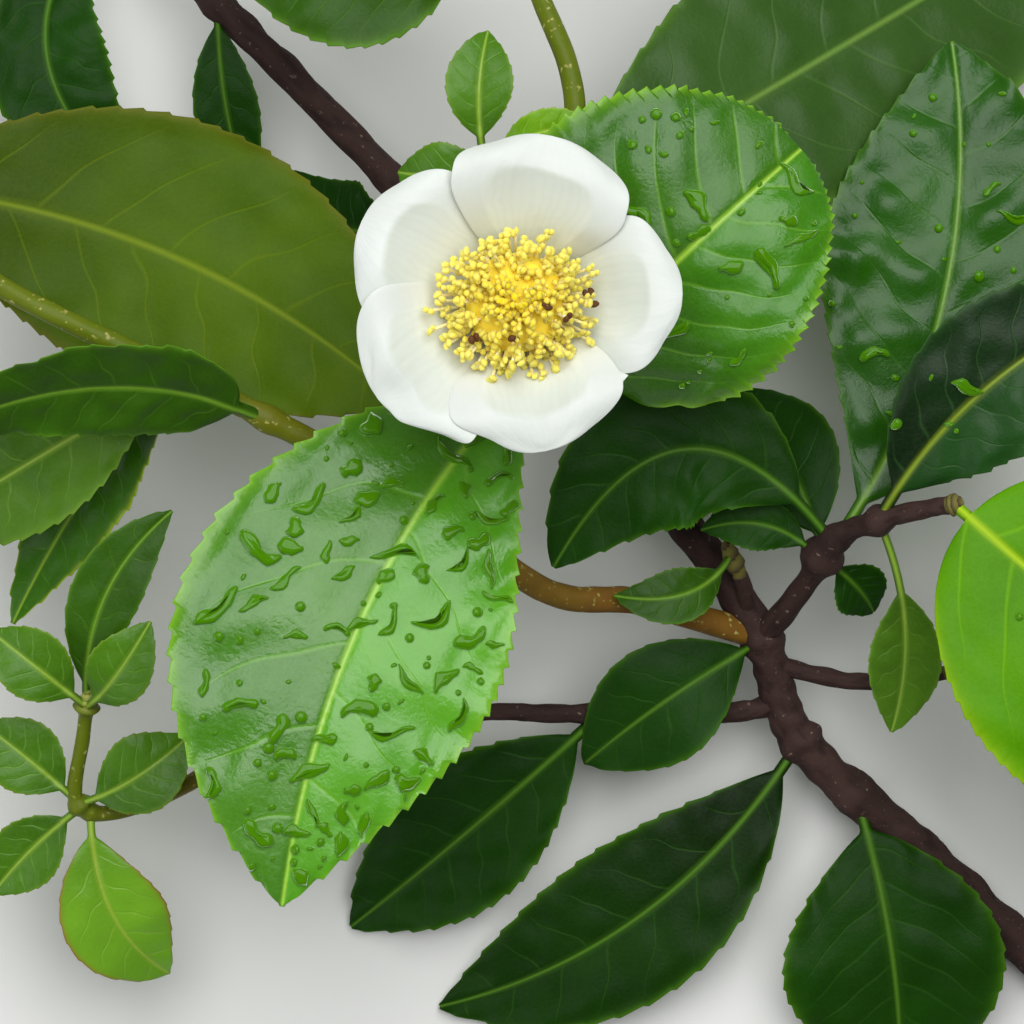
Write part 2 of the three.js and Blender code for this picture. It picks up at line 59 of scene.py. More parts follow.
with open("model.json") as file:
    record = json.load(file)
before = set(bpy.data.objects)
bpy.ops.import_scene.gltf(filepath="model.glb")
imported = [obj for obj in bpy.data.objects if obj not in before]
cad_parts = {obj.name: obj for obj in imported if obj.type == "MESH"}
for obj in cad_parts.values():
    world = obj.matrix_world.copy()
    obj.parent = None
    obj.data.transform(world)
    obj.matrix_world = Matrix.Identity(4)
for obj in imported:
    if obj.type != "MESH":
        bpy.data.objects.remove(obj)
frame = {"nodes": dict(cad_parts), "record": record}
cad_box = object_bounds()
print("nodes in the frame:", len(frame["nodes"]))

# %% [markdown]
# ## Where things are
#
# The branch was drawn round a point under the flower's stalk and then moved, so that its
# origin is the middle of its underside. The record's mount gives the middle of the stem's cut
# in that moved frame, and the stem's path below starts there, so the difference of the two is
# the move. All sizes below are real sizes in millimetres, and the surfaces are scaled to
# metres once, when a mesh is made.

# %% Scale and origin
MM = 0.001
MAIN_STEM_PATH = [(75, -65, 2.7), (52.5, -43.5, 5), (36, -28.5, 9), (30, -14, 13), (17, 4, 16),
                  (1, 22.5, 18), (-15, 41, 17), (-36.5, 63, 14), (-49, 75, 8.5), (-59, 84, 1)]
cut_middle = np.array(frame["record"]["mounts"][0]["pos_m"])
origin = cut_middle - MM * np.array(MAIN_STEM_PATH[0])
UP = np.array([0.0, 0.0, 1.0])
print("the drawing's origin in the frame, in metres:", origin.round(4))

# %% [markdown]
# ## Helpers for arrays of vectors
#
# Blender stores a mesh as flat arrays, so the quickest way to make one is to work out all its
# points at once. These helpers treat the last axis of an array as x, y and z.


# %% Vector helpers
def unit(vectors):
    """Each vector divided by its own length."""
    return vectors / np.linalg.norm(vectors, axis=-1, keepdims=True)


def ramp(x, low, high):
    """0 below low, 1 above high, and a smooth S between: 3s^2 - 2s^3."""
    s = np.clip((x - low) / (high - low), 0, 1)
    return s * s * (3 - 2 * s)


def circle(count):
    """So many angles evenly round a circle."""
    return np.linspace(0, 2 * np.pi, count, endpoint=False)


def lens(upper, lower):
    """So many angles over the upper half of a ring, then so many over its lower half."""
    return np.concatenate([np.linspace(0, np.pi, upper, endpoint=False),
                           np.linspace(np.pi, 2 * np.pi, lower, endpoint=False)])


def squared_off(x, power):
    """x with its sign kept and its size raised to a power. Below 1 this makes a sine's arc
    fuller, more like a box; above 1 it makes it slimmer."""
    return np.sign(x) * np.abs(x) ** power


print("six angles round a circle, in degrees:", np.degrees(circle(6)).round())

# %% [markdown]
# ## Seeded unevenness
#
# No stem, leaf or petal is quite even. A sum of sine waves of mixed lengths and directions
# looks accidental and is still smooth, and a seed makes it the same at each run. Noise in a
# material would do for colour, but these fields move the points themselves.

# %% Fields of waves
SWELL_COUNT = 12


def waves(a, b, seed, count=10, fine=3.0):
    """A rough but seeded field: the mean of many sine waves in a and b whose frequencies and
    phases come from the seed. The waves in b have whole numbers, so b may run round a stem."""
    rng = np.random.default_rng(seed)
    total = 0
    for _ in range(count):
        along = rng.uniform(0.3, 1) * fine
        around = rng.integers(-4, 5)
        total = total + np.sin(along * a + around * b + rng.uniform(0, 2 * np.pi))
    return total / np.sqrt(count)


def swells(x, y, seed, width):
    """A gently rolling field over a plane: the mean of many straight waves in all directions,
    each as long as width, give or take two fifths."""
    rng = np.random.default_rng(seed)
    total = 0
    for _ in range(SWELL_COUNT):
        turn, size = rng.uniform(0, np.pi), 2 * np.pi / (width * rng.uniform(0.6, 1.4))
        ahead = size * (np.cos(turn) * x + np.sin(turn) * y)
        total = total + np.sin(ahead + rng.uniform(0, 2 * np.pi))
    return total / np.sqrt(SWELL_COUNT)


print("a field of waves at five points:", waves(np.arange(5), np.zeros(5), 1).round(2))

# %% [markdown]
# ## Smooth curves
#
# Stems bend from leaf to leaf. A Bezier curve object could carry them, but the leaves need the
# exact point and direction where they leave the stem, so the curve is worked out here: a
# Catmull-Rom spline, which passes through every point that it is given. Midribs, threads and
# the flower's stalk have one bend each, and a quadratic Bezier curve is enough for them.


# %% Splines
def spline(points, t):
    """The smooth curve through points, as a Catmull-Rom spline: between two points it is the
    cubic whose slope at each is half the step between that point's neighbours."""
    p = np.asarray(points, float)
    p = np.vstack([2 * p[0] - p[1], p, 2 * p[-1] - p[-2]])
    spans = len(p) - 3
    s = np.clip(np.asarray(t, float), 0, 1) * spans
    i = np.minimum(s.astype(int), spans - 1)
    w = (s - i)[..., None]
    p0, p1, p2, p3 = p[i], p[i + 1], p[i + 2], p[i + 3]
    slope1, slope2 = (p2 - p0) / 2, (p3 - p1) / 2
    return ((2 * p1 - 2 * p2 + slope1 + slope2) * w**3
            + (-3 * p1 + 3 * p2 - 2 * slope1 - slope2) * w**2 + slope1 * w + p1)


def bezier(first, pull, last, w):
    """The quadratic Bezier curve: it leaves first toward pull and reaches last from there."""
    return (1 - w) ** 2 * first + 2 * w * (1 - w) * pull + w**2 * last


def spline_way(points, t):
    """The direction of the curve at t, from a small step each way."""
    return unit(spline(points, np.clip(t + 1e-4, 0, 1)) - spline(points, np.clip(t - 1e-4, 0, 1)))


def spline_length(points):
    """The curve's length in millimetres, as the sum of 400 short chords."""
    return np.linalg.norm(np.diff(spline(points, np.linspace(0, 1, 401)), axis=0), axis=1).sum()


print("main stem length in mm:", round(spline_length(MAIN_STEM_PATH), 1))

# %% [markdown]
# ## From a grid to a closed mesh
#
# Stems, leaves and petals are all tubes in the end: rings of points that follow one another,
# closed by a fan at both ends. A leaf is a tube squashed flat. The faces of such a grid follow
# from its size alone, so one function gives them for every tube.


# %% Faces of a tube
def tube_faces(rings, around):
    """Triangles over a grid of rings x around points, and two fans whose middles come right
    after the grid. The rings run clockwise about the way they follow, so the faces look out."""
    first = np.arange(around)
    following = (first + 1) % around
    start = np.arange(rings - 1)[:, None] * around
    a, b = start + first, start + following
    side = np.concatenate([np.stack([a, b + around, b], -1).reshape(-1, 3),
                           np.stack([a, a + around, b + around], -1).reshape(-1, 3)])
    last = (rings - 1) * around
    foot = np.full(around, rings * around)
    return np.concatenate([side, np.stack([foot, first, following], -1),
                           np.stack([foot + 1, following + last, first + last], -1)])


def with_ends(grid):
    """The grid's points in one list, then the middles of its first and last rings."""
    flat = grid.reshape(-1, grid.shape[-1])
    return np.concatenate([flat, grid[:1].mean(axis=1), grid[-1:].mean(axis=1)])


print("triangles of a closed tube of 3 rings of 8 points:", len(tube_faces(3, 8)))

# %% [markdown]
# ## From arrays to an object
#
# foreach_set copies a whole array into a mesh in one call, which is far quicker than a loop
# over its points. Numbers stored on the points as attributes stay with the mesh, and its
# material can read them.


# %% Objects from arrays
def add_object(name, data):
    """A new object of the scene that shows this mesh, lamp or camera."""
    obj = bpy.data.objects.new(name, data)
    bpy.context.scene.collection.objects.link(obj)
    return obj


def mesh_object(name, points, triangles, values=None):
    """A new smooth mesh from points in millimetres and triangles. values holds one number a
    point under each name, for the material to read."""
    mesh = bpy.data.meshes.new(name)
    mesh.vertices.add(len(points))
    mesh.vertices.foreach_set("co", (origin + MM * points).astype(np.float32).ravel())
    mesh.loops.add(triangles.size)
    mesh.loops.foreach_set("vertex_index", triangles.astype(np.int32).ravel())
    mesh.polygons.add(len(triangles))
    mesh.polygons.foreach_set("loop_start", np.arange(0, triangles.size, 3, dtype=np.int32))
    mesh.polygons.foreach_set("use_smooth", np.ones(len(triangles), dtype=bool))
    for key, numbers in (values or {}).items():
        attribute = mesh.attributes.new(key, "FLOAT", "POINT")
        attribute.data.foreach_set("value", np.asarray(numbers, np.float32).ravel())
    mesh.update(calc_edges=True)
    return add_object(name, mesh)


# %% [markdown]
# ## From a mesh to a piece of the branch
#
# Each object takes the place of one packed solid, or adds to it, such as a drop on a leaf. It
# gets its material and the body that it moves with. The branch is one rigid body, so that is
# always root.

# %% Pieces
triangle_count = 0


def finish_piece(obj, material, node, replace=True):
    """Gives the piece its material, lets it ride on the branch and, unless it only adds to what
    is there, puts it in the node's place."""
    global triangle_count
    obj.data.materials.append(material)
    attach(obj, "root")
    if replace:
        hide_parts(node)
    triangle_count += len(obj.data.polygons)


def tube_piece(name, grid, values, material, node):
    """A piece from one grid of rings and the numbers on its points."""
    full = {key: np.broadcast_to(numbers, grid.shape[:2]) for key, numbers in values.items()}
    stored = {key: with_ends(numbers[..., None]) for key, numbers in full.items()}
    obj = mesh_object(name, with_ends(grid), tube_faces(*grid.shape[:2]), stored)
    finish_piece(obj, material, node)


# %% [markdown]
# ## The camera
#
# The photo was taken from straight above the flower with a long lens. At 600 mm from the
# flower the picture is 117 mm wide, which sets the focal length for a 36 mm sensor. The flower
# stands about 62 mm over the table.

# %% Camera
EYE_HEIGHT = 662
SENSOR_WIDTH = 36
VIEW_WIDTH = 117.2
FLOWER_DISTANCE = 600
camera = add_object("camera", bpy.data.cameras.new("camera"))
camera.location = origin + MM * np.array([0, 0, EYE_HEIGHT])
camera.data.sensor_width = SENSOR_WIDTH
camera.data.lens = SENSOR_WIDTH * FLOWER_DISTANCE / VIEW_WIDTH
camera.data.clip_start = 10 * MM
bpy.context.scene.camera = camera
print("lens in mm:", round(camera.data.lens, 1))

# %% [markdown]
# ## The light
#
# The day was overcast, so the light is a broad soft source overhead, a weaker one from the side
# and a pale surround. The leaves are glossy, and what they show is mostly the reflection of the
# broad source, so its place decides which of them look pale.


# %% Lights
def area_light(name, place, aim, size, watts):
    """A square lamp at a place in millimetres, turned to face the point aim."""
    lamp = bpy.data.lights.new(name, "AREA")
    lamp.size = size * MM
    lamp.energy = watts
    obj = add_object(name, lamp)
    obj.location = origin + MM * np.array(place)
    way = mathutils.Vector(np.array(aim) - np.array(place))
    obj.rotation_euler = way.to_track_quat("-Z", "Y").to_euler()


area_light("sky", (80, 330, 850), (0, 0, 30), 850, 10)
area_light("side", (-700, -250, 500), (0, 0, 30), 500, 1.8)

world = bpy.data.worlds.new("surround")
world.use_nodes = True
surround = world.node_tree.nodes["Background"].inputs
surround["Color"].default_value = (0.96, 0.98, 1.0, 1)
surround["Strength"].default_value = 0.2
bpy.context.scene.world = world
bpy.context.scene.view_settings.view_transform = "Standard"
print("lamps:", [lamp.name for lamp in bpy.data.lights])

# %% [markdown]
# ## Materials from nodes
#
# Every colour comes from nodes that read a value stored on the mesh's points, such as how
# near a point is to a vein, or noise that is fixed to the object. A small class keeps the
# node code short: each method adds one node and returns its output. This first half of it has
# the sums and the mixed colours.


# %% Values, sums and mixed colours
class Sums:
    """Builds one material's nodes. Each method adds a node and gives back its output."""

    def __init__(self, name, roughness):
        """A new material with Blender's all-round shader."""
        self.material = bpy.data.materials.new(name)
        self.material.use_nodes = True
        self.tree = self.material.node_tree
        self.shader = self.tree.nodes["Principled BSDF"]
        self.set("Roughness", roughness)

    def set(self, socket, value):
        """Sets a socket of the shader to a value, or links an output to it."""
        self.put(self.shader, socket, value)
        return self

    def put(self, node, key, value):
        """The same for one input of any node."""
        if isinstance(value, bpy.types.NodeSocket):
            self.tree.links.new(value, node.inputs[key])
        else:
            node.inputs[key].default_value = value

    def value(self, name):
        """The number stored on the mesh under this name."""
        node = self.tree.nodes.new("ShaderNodeAttribute")
        node.attribute_name = name
        return node.outputs["Fac"]

    def math(self, operation, a, b=0.0):
        """One sum, by the name of Blender's operation."""
        node = self.tree.nodes.new("ShaderNodeMath")
        node.operation = operation
        self.put(node, 0, a)
        self.put(node, 1, b)
        return node.outputs[0]

    def times(self, a, b):
        """a times b."""
        return self.math("MULTIPLY", a, b)

    def plus(self, a, b):
        """a plus b."""
        return self.math("ADD", a, b)

    def between(self, x, low, high):
        """x moved from the range low to high onto 0 to 1, and cut off there."""
        node = self.tree.nodes.new("ShaderNodeMapRange")
        self.put(node, "Value", x)
        self.put(node, "From Min", low)
        self.put(node, "From Max", high)
        return node.outputs["Result"]

    def mix(self, amount, a, b):
        """Colour a where amount is 0, colour b where it is 1."""
        node = self.tree.nodes.new("ShaderNodeMix")
        node.data_type = "RGBA"
        self.put(node, 0, amount)
        self.put(node, 6, a)
        self.put(node, 7, b)
        return node.outputs[2]


print("sums:", [name for name in vars(Sums) if not name.startswith("_")])

# %% [markdown]
# ## Patterns and relief
#
# The second half adds the patterns. They read Object coordinates, so a pattern is fixed to its
# piece and does not slide when the branch is moved. Relief that is finer than the mesh is bump,
# which tilts the light on the surface and leaves the surface where it is.

# %% Patterns and relief
SHINE = "Specular IOR Level"


class Paint(Sums):
    """One material's nodes, with noise, cells and relief."""

    def noise(self, per_mm, detail=3, roughness=0.55):
        """Noise fixed to the object, with so many features a millimetre."""
        place = self.tree.nodes.new("ShaderNodeTexCoord")
        scale = self.tree.nodes.new("ShaderNodeMapping")
        scale.inputs["Scale"].default_value = [per_mm / MM] * 3
        self.tree.links.new(place.outputs["Object"], scale.inputs["Vector"])
        node = self.tree.nodes.new("ShaderNodeTexNoise")
        self.tree.links.new(scale.outputs["Vector"], node.inputs["Vector"])
        node.inputs["Scale"].default_value = 1
        node.inputs["Detail"].default_value = detail
        node.inputs["Roughness"].default_value = roughness
        return node.outputs["Fac"]

    def cells(self, per_mm):
        """The distance to the nearest edge of a pattern of cells, as between fine veins."""
        place = self.tree.nodes.new("ShaderNodeTexCoord")
        node = self.tree.nodes.new("ShaderNodeTexVoronoi")
        node.feature = "DISTANCE_TO_EDGE"
        node.inputs["Scale"].default_value = per_mm / MM
        self.tree.links.new(place.outputs["Object"], node.inputs["Vector"])
        return node.outputs["Distance"]

    def bump(self, height, depth_mm, strength=1.0):
        """Fine relief: height 0 to 1 stands for so many millimetres."""
        node = self.tree.nodes.new("ShaderNodeBump")
        node.inputs["Distance"].default_value = depth_mm * MM
        node.inputs["Strength"].default_value = strength
        self.put(node, "Height", height)
        self.tree.links.new(node.outputs["Normal"], self.shader.inputs["Normal"])
        return self


print("patterns:", [name for name in vars(Paint) if not name.startswith("_")])

# %% [markdown]
# ## Colours
#
# A picture stores a colour on a curve that suits the eye, and a renderer reckons in linear
# light. The colours below are written as a picture shows them and are changed here.


# %% Colours in linear light
def srgb(red, green, blue):
    """A colour in linear light from its 0 to 255 values as a picture holds them."""
    c = np.array([red, green, blue]) / 255
    return (*np.where(c <= 0.04045, c / 12.92, ((c + 0.055) / 1.055) ** 2.4), 1.0)


print("a middle grey in linear light:", round(float(srgb(128, 128, 128)[0]), 3))

# %% [markdown]
# ## The table
#
# The branch lies on a plain pale table, one square that is far larger than the picture. It
# belongs to the stage and not to the branch.

# %% Table
TABLE_HALF = 1500 * MM
table = add_object("table", bpy.data.meshes.new("table"))
corners = [(x * TABLE_HALF, y * TABLE_HALF, 0) for x, y in [(-1, -1), (1, -1), (1, 1), (-1, 1)]]
table.data.from_pydata(corners, [], [(0, 1, 2, 3)])
table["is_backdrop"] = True
paint = Paint("table_top", 0.6)
paint.set("Base Color", paint.mix(paint.noise(0.01), (0.72, 0.72, 0.7, 1), (0.78, 0.78, 0.76, 1)))
table.data.materials.append(paint.material)
print("nodes in the table's material:", len(paint.tree.nodes))

# %% [markdown]
# ## Stems
#
# A tea stem is woody and purplish brown at its foot and yellow-green where it is young. It
# thickens at each node, where a leaf stands in the stem's side, and ends in a bud of
# overlapping scales. Each stem is a row of rings square to a smooth curve. A modifier could
# sweep a circle along a curve, but the rings let the radius carry the nodes, the scales and
# the cracks of the bark.

# %% The stems' paths
# each: points in millimetres, radius at the foot, radius at the tip, finish
STEMS = {
    "main_stem": (MAIN_STEM_PATH, 2.6, 1.6, "bark"),
    "flower_shoot": ([(17, 4, 16), (10.5, 11, 26), (6.5, 19, 35), (5, 31, 39), (7.5, 48.5, 37),
                      (3.5, 61.5, 34), (-1.5, 72.5, 30)], 1.7, 1.1, "green_twig"),
    "young_shoot": ([(6, 39.5, 39), (1.5, 39.5, 40), (-4, 43.5, 39.5)], 0.9, 0.7, "green_twig"),
    "left_shoot": ([(29.5, -15, 12.7), (15.5, -11, 20), (4, -9.5, 26), (-11, 1.5, 34),
                    (-25, 9, 38), (-43, 18, 40), (-61, 27, 40), (-76, 38, 37), (-86, 46, 31)],
                   1.7, 1.1, "green_twig"),
    "lower_left_shoot": ([(-10, 0.8, 33.5), (-22, -15.5, 26), (-35.5, -30.5, 22),
                          (-48, -36.5, 22), (-53, -35, 24), (-52, -27.5, 27), (-51, -21.5, 30)],
                         1.2, 0.8, "green_twig"),
    "right_shoot": ([(30.5, -16, 12.5), (35.5, -9.5, 20), (39, -3.5, 27), (44, -1, 33),
                     (50, 0.5, 38), (53.5, 1, 40.5)], 1.6, 1.0, "bark"),
    "lower_shoot": ([(34, -23.5, 10.5), (26, -25, 11), (6, -25, 12), (-4, -25, 12),
                     (-14, -28.5, 12)], 1.4, 0.9, "bark"),
    "short_shoot": ([(29, -12.5, 13.5), (28.5, -9, 17), (26, -3.5, 20.5)], 1.2, 0.9, "bark"),
    "low_right_shoot": ([(32.5, -19, 11.7), (44, -21, 14), (58, -19, 17)], 1.2, 0.9, "bark"),
}
print("stems:", len(STEMS))

# %% [markdown]
# ## The leaves' places
#
# One row of numbers sets each leaf, the same ones that its solid was made from: the stem that
# it grows on and how far along that stem, the heading and pitch of the line from its foot to
# its tip, that line's length, half the blade's width, how far the midrib arches up and sweeps
# sideways, the roll about the line, and the fold and the curl of its two halves.

# %% The leaves' rows
LEAF_KEYS = ("stem", "along", "heading", "pitch", "length", "half", "arch", "sweep", "roll",
             "fold", "curl", "look")
LEAF_ROWS = {
    "leaf_front_low": ("flower_shoot", 0.355, -116.4, 12.1, 75.7, 19.6, 6.2, 6.7, 0, 3, 8, "wet"),
    "leaf_front_high": ("flower_shoot", 0.3, 43.5, 18, 39, 19.4, 9, -0.4, 0, 4, 13, "wet_bright"),
    "leaf_left_turned": ("left_shoot", 0.89, -22, 1, 69, 16.5, 6.1, 6, 180, 4, 10, "turned"),
    "leaf_left_folded": ("left_shoot", 0.53, -176, 11, 42, 6.8, 1.3, 7.2, -38, 8, 6, "mid"),
    "leaf_left_pale": ("left_shoot", 0.6, -150, -16, 41, 8, 0.6, 0.3, 0, 6, 6, "pale"),
    "leaf_left_curved": ("left_shoot", 0.595, -127, -23, 40, 6, -3.7, 3.8, 20, 8, 6, "rimmed"),
    "leaf_low_a": ("lower_left_shoot", 0.945, 66, 7, 26, 4.3, 1.5, -3.2, 0, 10, 6, "mid"),
    "leaf_low_b": ("lower_left_shoot", 0.943, 52, 28, 15, 4, 2.8, 0.7, 0, 10, 6, "fresh"),
    "leaf_low_c": ("lower_left_shoot", 0.943, 141, 12, 15, 4.3, 2.5, 0.2, 0, 10, 6, "fresh"),
    "leaf_low_d": ("lower_left_shoot", 0.657, 140, 8, 15, 4.6, 1, 0.3, 0, 10, 6, "fresh"),
    "leaf_low_e": ("lower_left_shoot", 0.645, 32, 8, 16, 4.9, 2.1, 0.9, 0, 10, 6, "fresh"),
    "leaf_low_f": ("lower_left_shoot", 0.627, -136, -12, 16, 4.3, 0.4, 0.6, 0, 10, 6, "fresh"),
    "leaf_low_g": ("lower_left_shoot", 0.585, -66, -21, 24, 6.6, 2.7, 2.8, 0, 12, 6, "reddish"),
    "leaf_right_dark": ("right_shoot", 0.6, 41, 9, 41, 9.3, 6.5, -3.9, 0, 8, 6, "deep"),
    "leaf_right_bright": ("right_shoot", 0.938, -38, -14, 54, 20, 9, 1.2, 0, 6, 8, "bright"),
    "leaf_right_upright": ("right_shoot", 0.43, 77, -4, 62, 15.8, 2, 5.8, 0, 6, 8, "quilted"),
    "leaf_upper_right": ("flower_shoot", 0.547, 32, -25.1, 90, 17.5, 1.8, 0.4, 0, 4, 6, "dull"),
    "leaf_mid_right": ("right_shoot", 0.39, -175, 4, 34, 9.5, 3.2, 12.8, 0, 6, 6, "dark"),
    "leaf_mid_round": ("right_shoot", 0.34, 116, -22, 24, 6.6, 2.2, 1.1, 0, 6, 6, "dark"),
    "leaf_mid_small": ("right_shoot", 0.313, 166, 4, 15, 3.3, 1.4, 2.5, 0, 6, 6, "dark"),
    "leaf_mid_olive": ("short_shoot", 0.85, -161, 18, 16, 3.4, 2.6, -2.6, 0, 6, 6, "mid"),
    "leaf_lower_mid": ("main_stem", 0.32, -145, -5, 27, 7.4, 5.5, 0.9, 0, 6, 6, "dark"),
    "leaf_right_pale": ("right_shoot", 0.6, -85, -22, 28, 4.5, 0, -2.4, 0, 8, 6, "pale"),
    "leaf_right_small": ("right_shoot", 0.323, -45, -30, 11, 3.6, 1, -0.6, 0, 8, 6, "dark"),
    "leaf_bottom_left": ("lower_shoot", 0.432, -139, -15, 43, 9.2, 2.6, -0.3, 0, 6, 6, "dark"),
    "leaf_bottom_mid": ("main_stem", 0.223, -143, -8.4, 57, 10, 3.8, -5.5, 0, 6, 6, "dark"),
    "leaf_bottom_right": ("main_stem", 0.168, -81, -9.6, 38, 14, 5.1, -1.2, 0, 6, 6, "dark"),
    "leaf_top": ("flower_shoot", 0.995, -173, 5, 33, 14, 4.7, -0.7, 0, 6, 6, "mid"),
    "leaf_young_a": ("young_shoot", 0.96, 87, 2, 14, 4.1, 2.3, -0.7, 0, 12, 4, "fresh"),
    "leaf_young_b": ("young_shoot", 0.85, 17, 11, 13, 2.7, 1.3, -0.9, 0, 12, 4, "lime"),
    "leaf_young_c": ("young_shoot", 0.8, -174, -8, 12, 3.9, 2.2, -1, 0, 12, 4, "fresh"),
    "leaf_back_left": ("main_stem", 0.9, -82, 6, 38, 7.5, 6.2, 9.9, 0, 8, 6, "dark"),
    "leaf_back_mid": ("main_stem", 0.777, -81, -10, 24, 4.1, 2, 1, 0, 8, 6, "dark"),
    "leaf_back_low": ("main_stem", 0.645, 161, -29, 19, 6, -1.2, -4.8, 0, 8, 6, "dark"),
    "leaf_left_end": ("left_shoot", 0.995, 165, -14, 34, 8, 3, 1, 0, 8, 6, "mid"),
    "leaf_left_end_low": ("left_shoot", 0.97, -140, -20, 30, 8, 3, 1, 0, 8, 6, "dark"),
    "leaf_back_end": ("main_stem", 0.985, 175, 8, 30, 8, 3, 1, 0, 8, 6, "dark"),
    "leaf_top_right": ("flower_shoot", 0.93, 20, -4, 30, 8, 4, 1, 0, 8, 6, "mid"),
    "leaf_lower_end": ("lower_shoot", 0.98, -165, -10, 26, 6.5, 3, 1, 0, 8, 6, "dark"),
    "leaf_right_low": ("low_right_shoot", 0.98, -5, -6, 34, 9, 4, 1, 0, 8, 6, "dark"),
}
LEAVES = {name: dict(zip(LEAF_KEYS, row)) for name, row in LEAF_ROWS.items()}
print("leaves:", len(LEAVES))

# %% [markdown]
# ## The surface of a stem
#
# The rings are square to the stem's curve. Their radius swells at each leaf, where the stem is
# thicker, and narrows just above it, where an old leaf has left its scar. The last few
# millimetres are the bud. Its scales overlap, so the radius steps down in a spiral.

# %% Stems as grids
BUD_LENGTH = 4.5
BUD_SWELL = 1.45
BUD_TIP = 0.25
BUD_CLOSES = 0.35
BUD_RINGS = 25
NODE_SWELL = 0.28
NODE_LENGTH = 1.5
SCAR_DEPTH = 0.07
SCAR_PLACE = 2.2
SCAR_LENGTH = 0.35
STEM_AROUND = 32
SCALE_STEP = 0.16
SCALE_TURNS = 3.2


def stem_radius(name, t, length):
    """The radius along a stem: a straight taper, a swelling at each leaf with a narrow scar
    above it, and at the end a bud that swells and then closes like the end of an egg."""
    _, root, tip, _ = STEMS[name]
    bud_start = 1 - BUD_LENGTH / length
    radius = root + (tip - root) * t
    for leaf in LEAVES.values():
        if leaf["stem"] == name:
            gap = (t - leaf["along"]) * length
            node = NODE_SWELL * np.exp(-(gap / NODE_LENGTH) ** 2)
            scar = SCAR_DEPTH * np.exp(-((gap - SCAR_PLACE) / SCAR_LENGTH) ** 2)
            radius *= 1 + node - scar
    s = (t - bud_start) / (1 - bud_start)
    swell = tip * (1 + (BUD_SWELL - 1) * ramp(s, 0, BUD_CLOSES))
    to_tip = np.clip(s - BUD_CLOSES, 0, 1) / (1 - BUD_CLOSES)
    closing = np.sqrt(np.clip(1 - to_tip**1.7, 0, 1))
    return np.where(s > 0, np.maximum(swell * closing, BUD_TIP * (s < 1)), radius)


def stem_grid(name, seed):
    """The rings' points, and for each point its height over the smooth stem, its share of the
    way along it and how far a bud's scale is drawn in. A point stands off the curve by the
    radius times its angle's cosine to the side and its sine upward. Bark adds ridges, which are
    a field of waves, and narrow cracks, where a wavering sine is near nought."""
    path, root, _, finish = STEMS[name]
    length = spline_length(path)
    bud_start = 1 - BUD_LENGTH / length
    t = np.concatenate([np.linspace(0, bud_start, int(length * 1.6) + 8),
                        np.linspace(bud_start, 1, BUD_RINGS + 1)[1:]])
    angle = circle(STEM_AROUND)
    centre, way = spline(path, t), spline_way(path, t)
    side = unit(np.cross(way, UP))
    lift = np.cross(side, way)
    along = (t * length)[:, None]
    s = ((t - bud_start) / (1 - bud_start))[:, None]
    scales = SCALE_STEP * ((SCALE_TURNS * np.clip(s, 0, 1) + angle / (2 * np.pi)) % 1) * (s > 0)
    if finish == "bark":
        cracks = np.abs(np.sin(4 * angle + 1.6 * waves(along, 0 * angle, seed, fine=0.5)))
        relief = 0.055 * waves(along, angle, seed + 1, fine=1.6) - 0.07 * (1 - cracks) ** 3
    else:
        relief = 0.02 * waves(along, angle, seed + 1, fine=1.2)
    relief = relief * (s <= 0) * root
    radius = stem_radius(name, t, length)[:, None] * (1 - scales) + relief
    grid = (centre[:, None] + radius[..., None]
            * (side[:, None] * np.cos(angle)[:, None] + lift[:, None] * np.sin(angle)[:, None]))
    return grid, {"relief": relief / root, "along": t[:, None], "scale": scales}


print("rings of the main stem:", len(stem_grid("main_stem", 0)[0]))

# %% [markdown]
# ## Bark, old and young
#
# The main stem and the short shoots are dull purplish brown with pale specks, the breathing
# pores of the bark. The long shoots are still smooth: green toward the tip and turning brown
# from the foot. Both colours follow numbers stored on the points, so no picture is needed.


# %% Stem materials and pieces
def bark_paint():
    """Purplish brown bark: slow patches of greyer brown, darker in its cracks, with a few pale
    specks."""
    paint = Paint("bark", 0.75).set(SHINE, 0.2)
    patches = paint.between(paint.noise(0.09, 4), 0.35, 0.65)
    ground = paint.mix(patches, srgb(48, 32, 29), srgb(68, 48, 43))
    ground = paint.mix(paint.times(paint.noise(0.9, 4), 0.5), ground, srgb(42, 28, 26))
    specks = paint.between(paint.noise(1.4, 2), 0.66, 0.74)
    ground = paint.mix(paint.times(specks, 0.5), ground, srgb(140, 124, 108))
    cracks = paint.between(paint.value("relief"), -0.03, -0.09)
    ground = paint.mix(paint.times(cracks, 0.6), ground, srgb(36, 24, 22))
    ground = paint.mix(paint.between(paint.value("scale"), 0.0, 0.1), ground, srgb(110, 105, 50))
    return paint.set("Base Color", ground).bump(paint.noise(2.0, 4), 0.1).material


def green_twig_paint():
    """Young bark: yellow-green toward the tip, orange-brown toward the root."""
    paint = Paint("green_twig", 0.48).set(SHINE, 0.2)
    green = paint.mix(paint.noise(0.3, 3), srgb(76, 98, 2), srgb(104, 114, 12))
    brown = paint.mix(paint.noise(0.5, 3), srgb(128, 92, 26), srgb(98, 66, 26))
    place = paint.plus(paint.value("along"), paint.times(paint.noise(0.12), 0.3))
    ground = paint.mix(paint.between(place, 0.35, 0.75), brown, green)
    ground = paint.mix(paint.between(paint.noise(1.2, 1), 0.64, 0.74), ground, srgb(160, 156, 84))
    ground = paint.mix(paint.between(paint.value("scale"), 0.0, 0.15), ground, srgb(170, 175, 90))
    return paint.set("Base Color", ground).bump(paint.noise(1.5, 3), 0.06).material


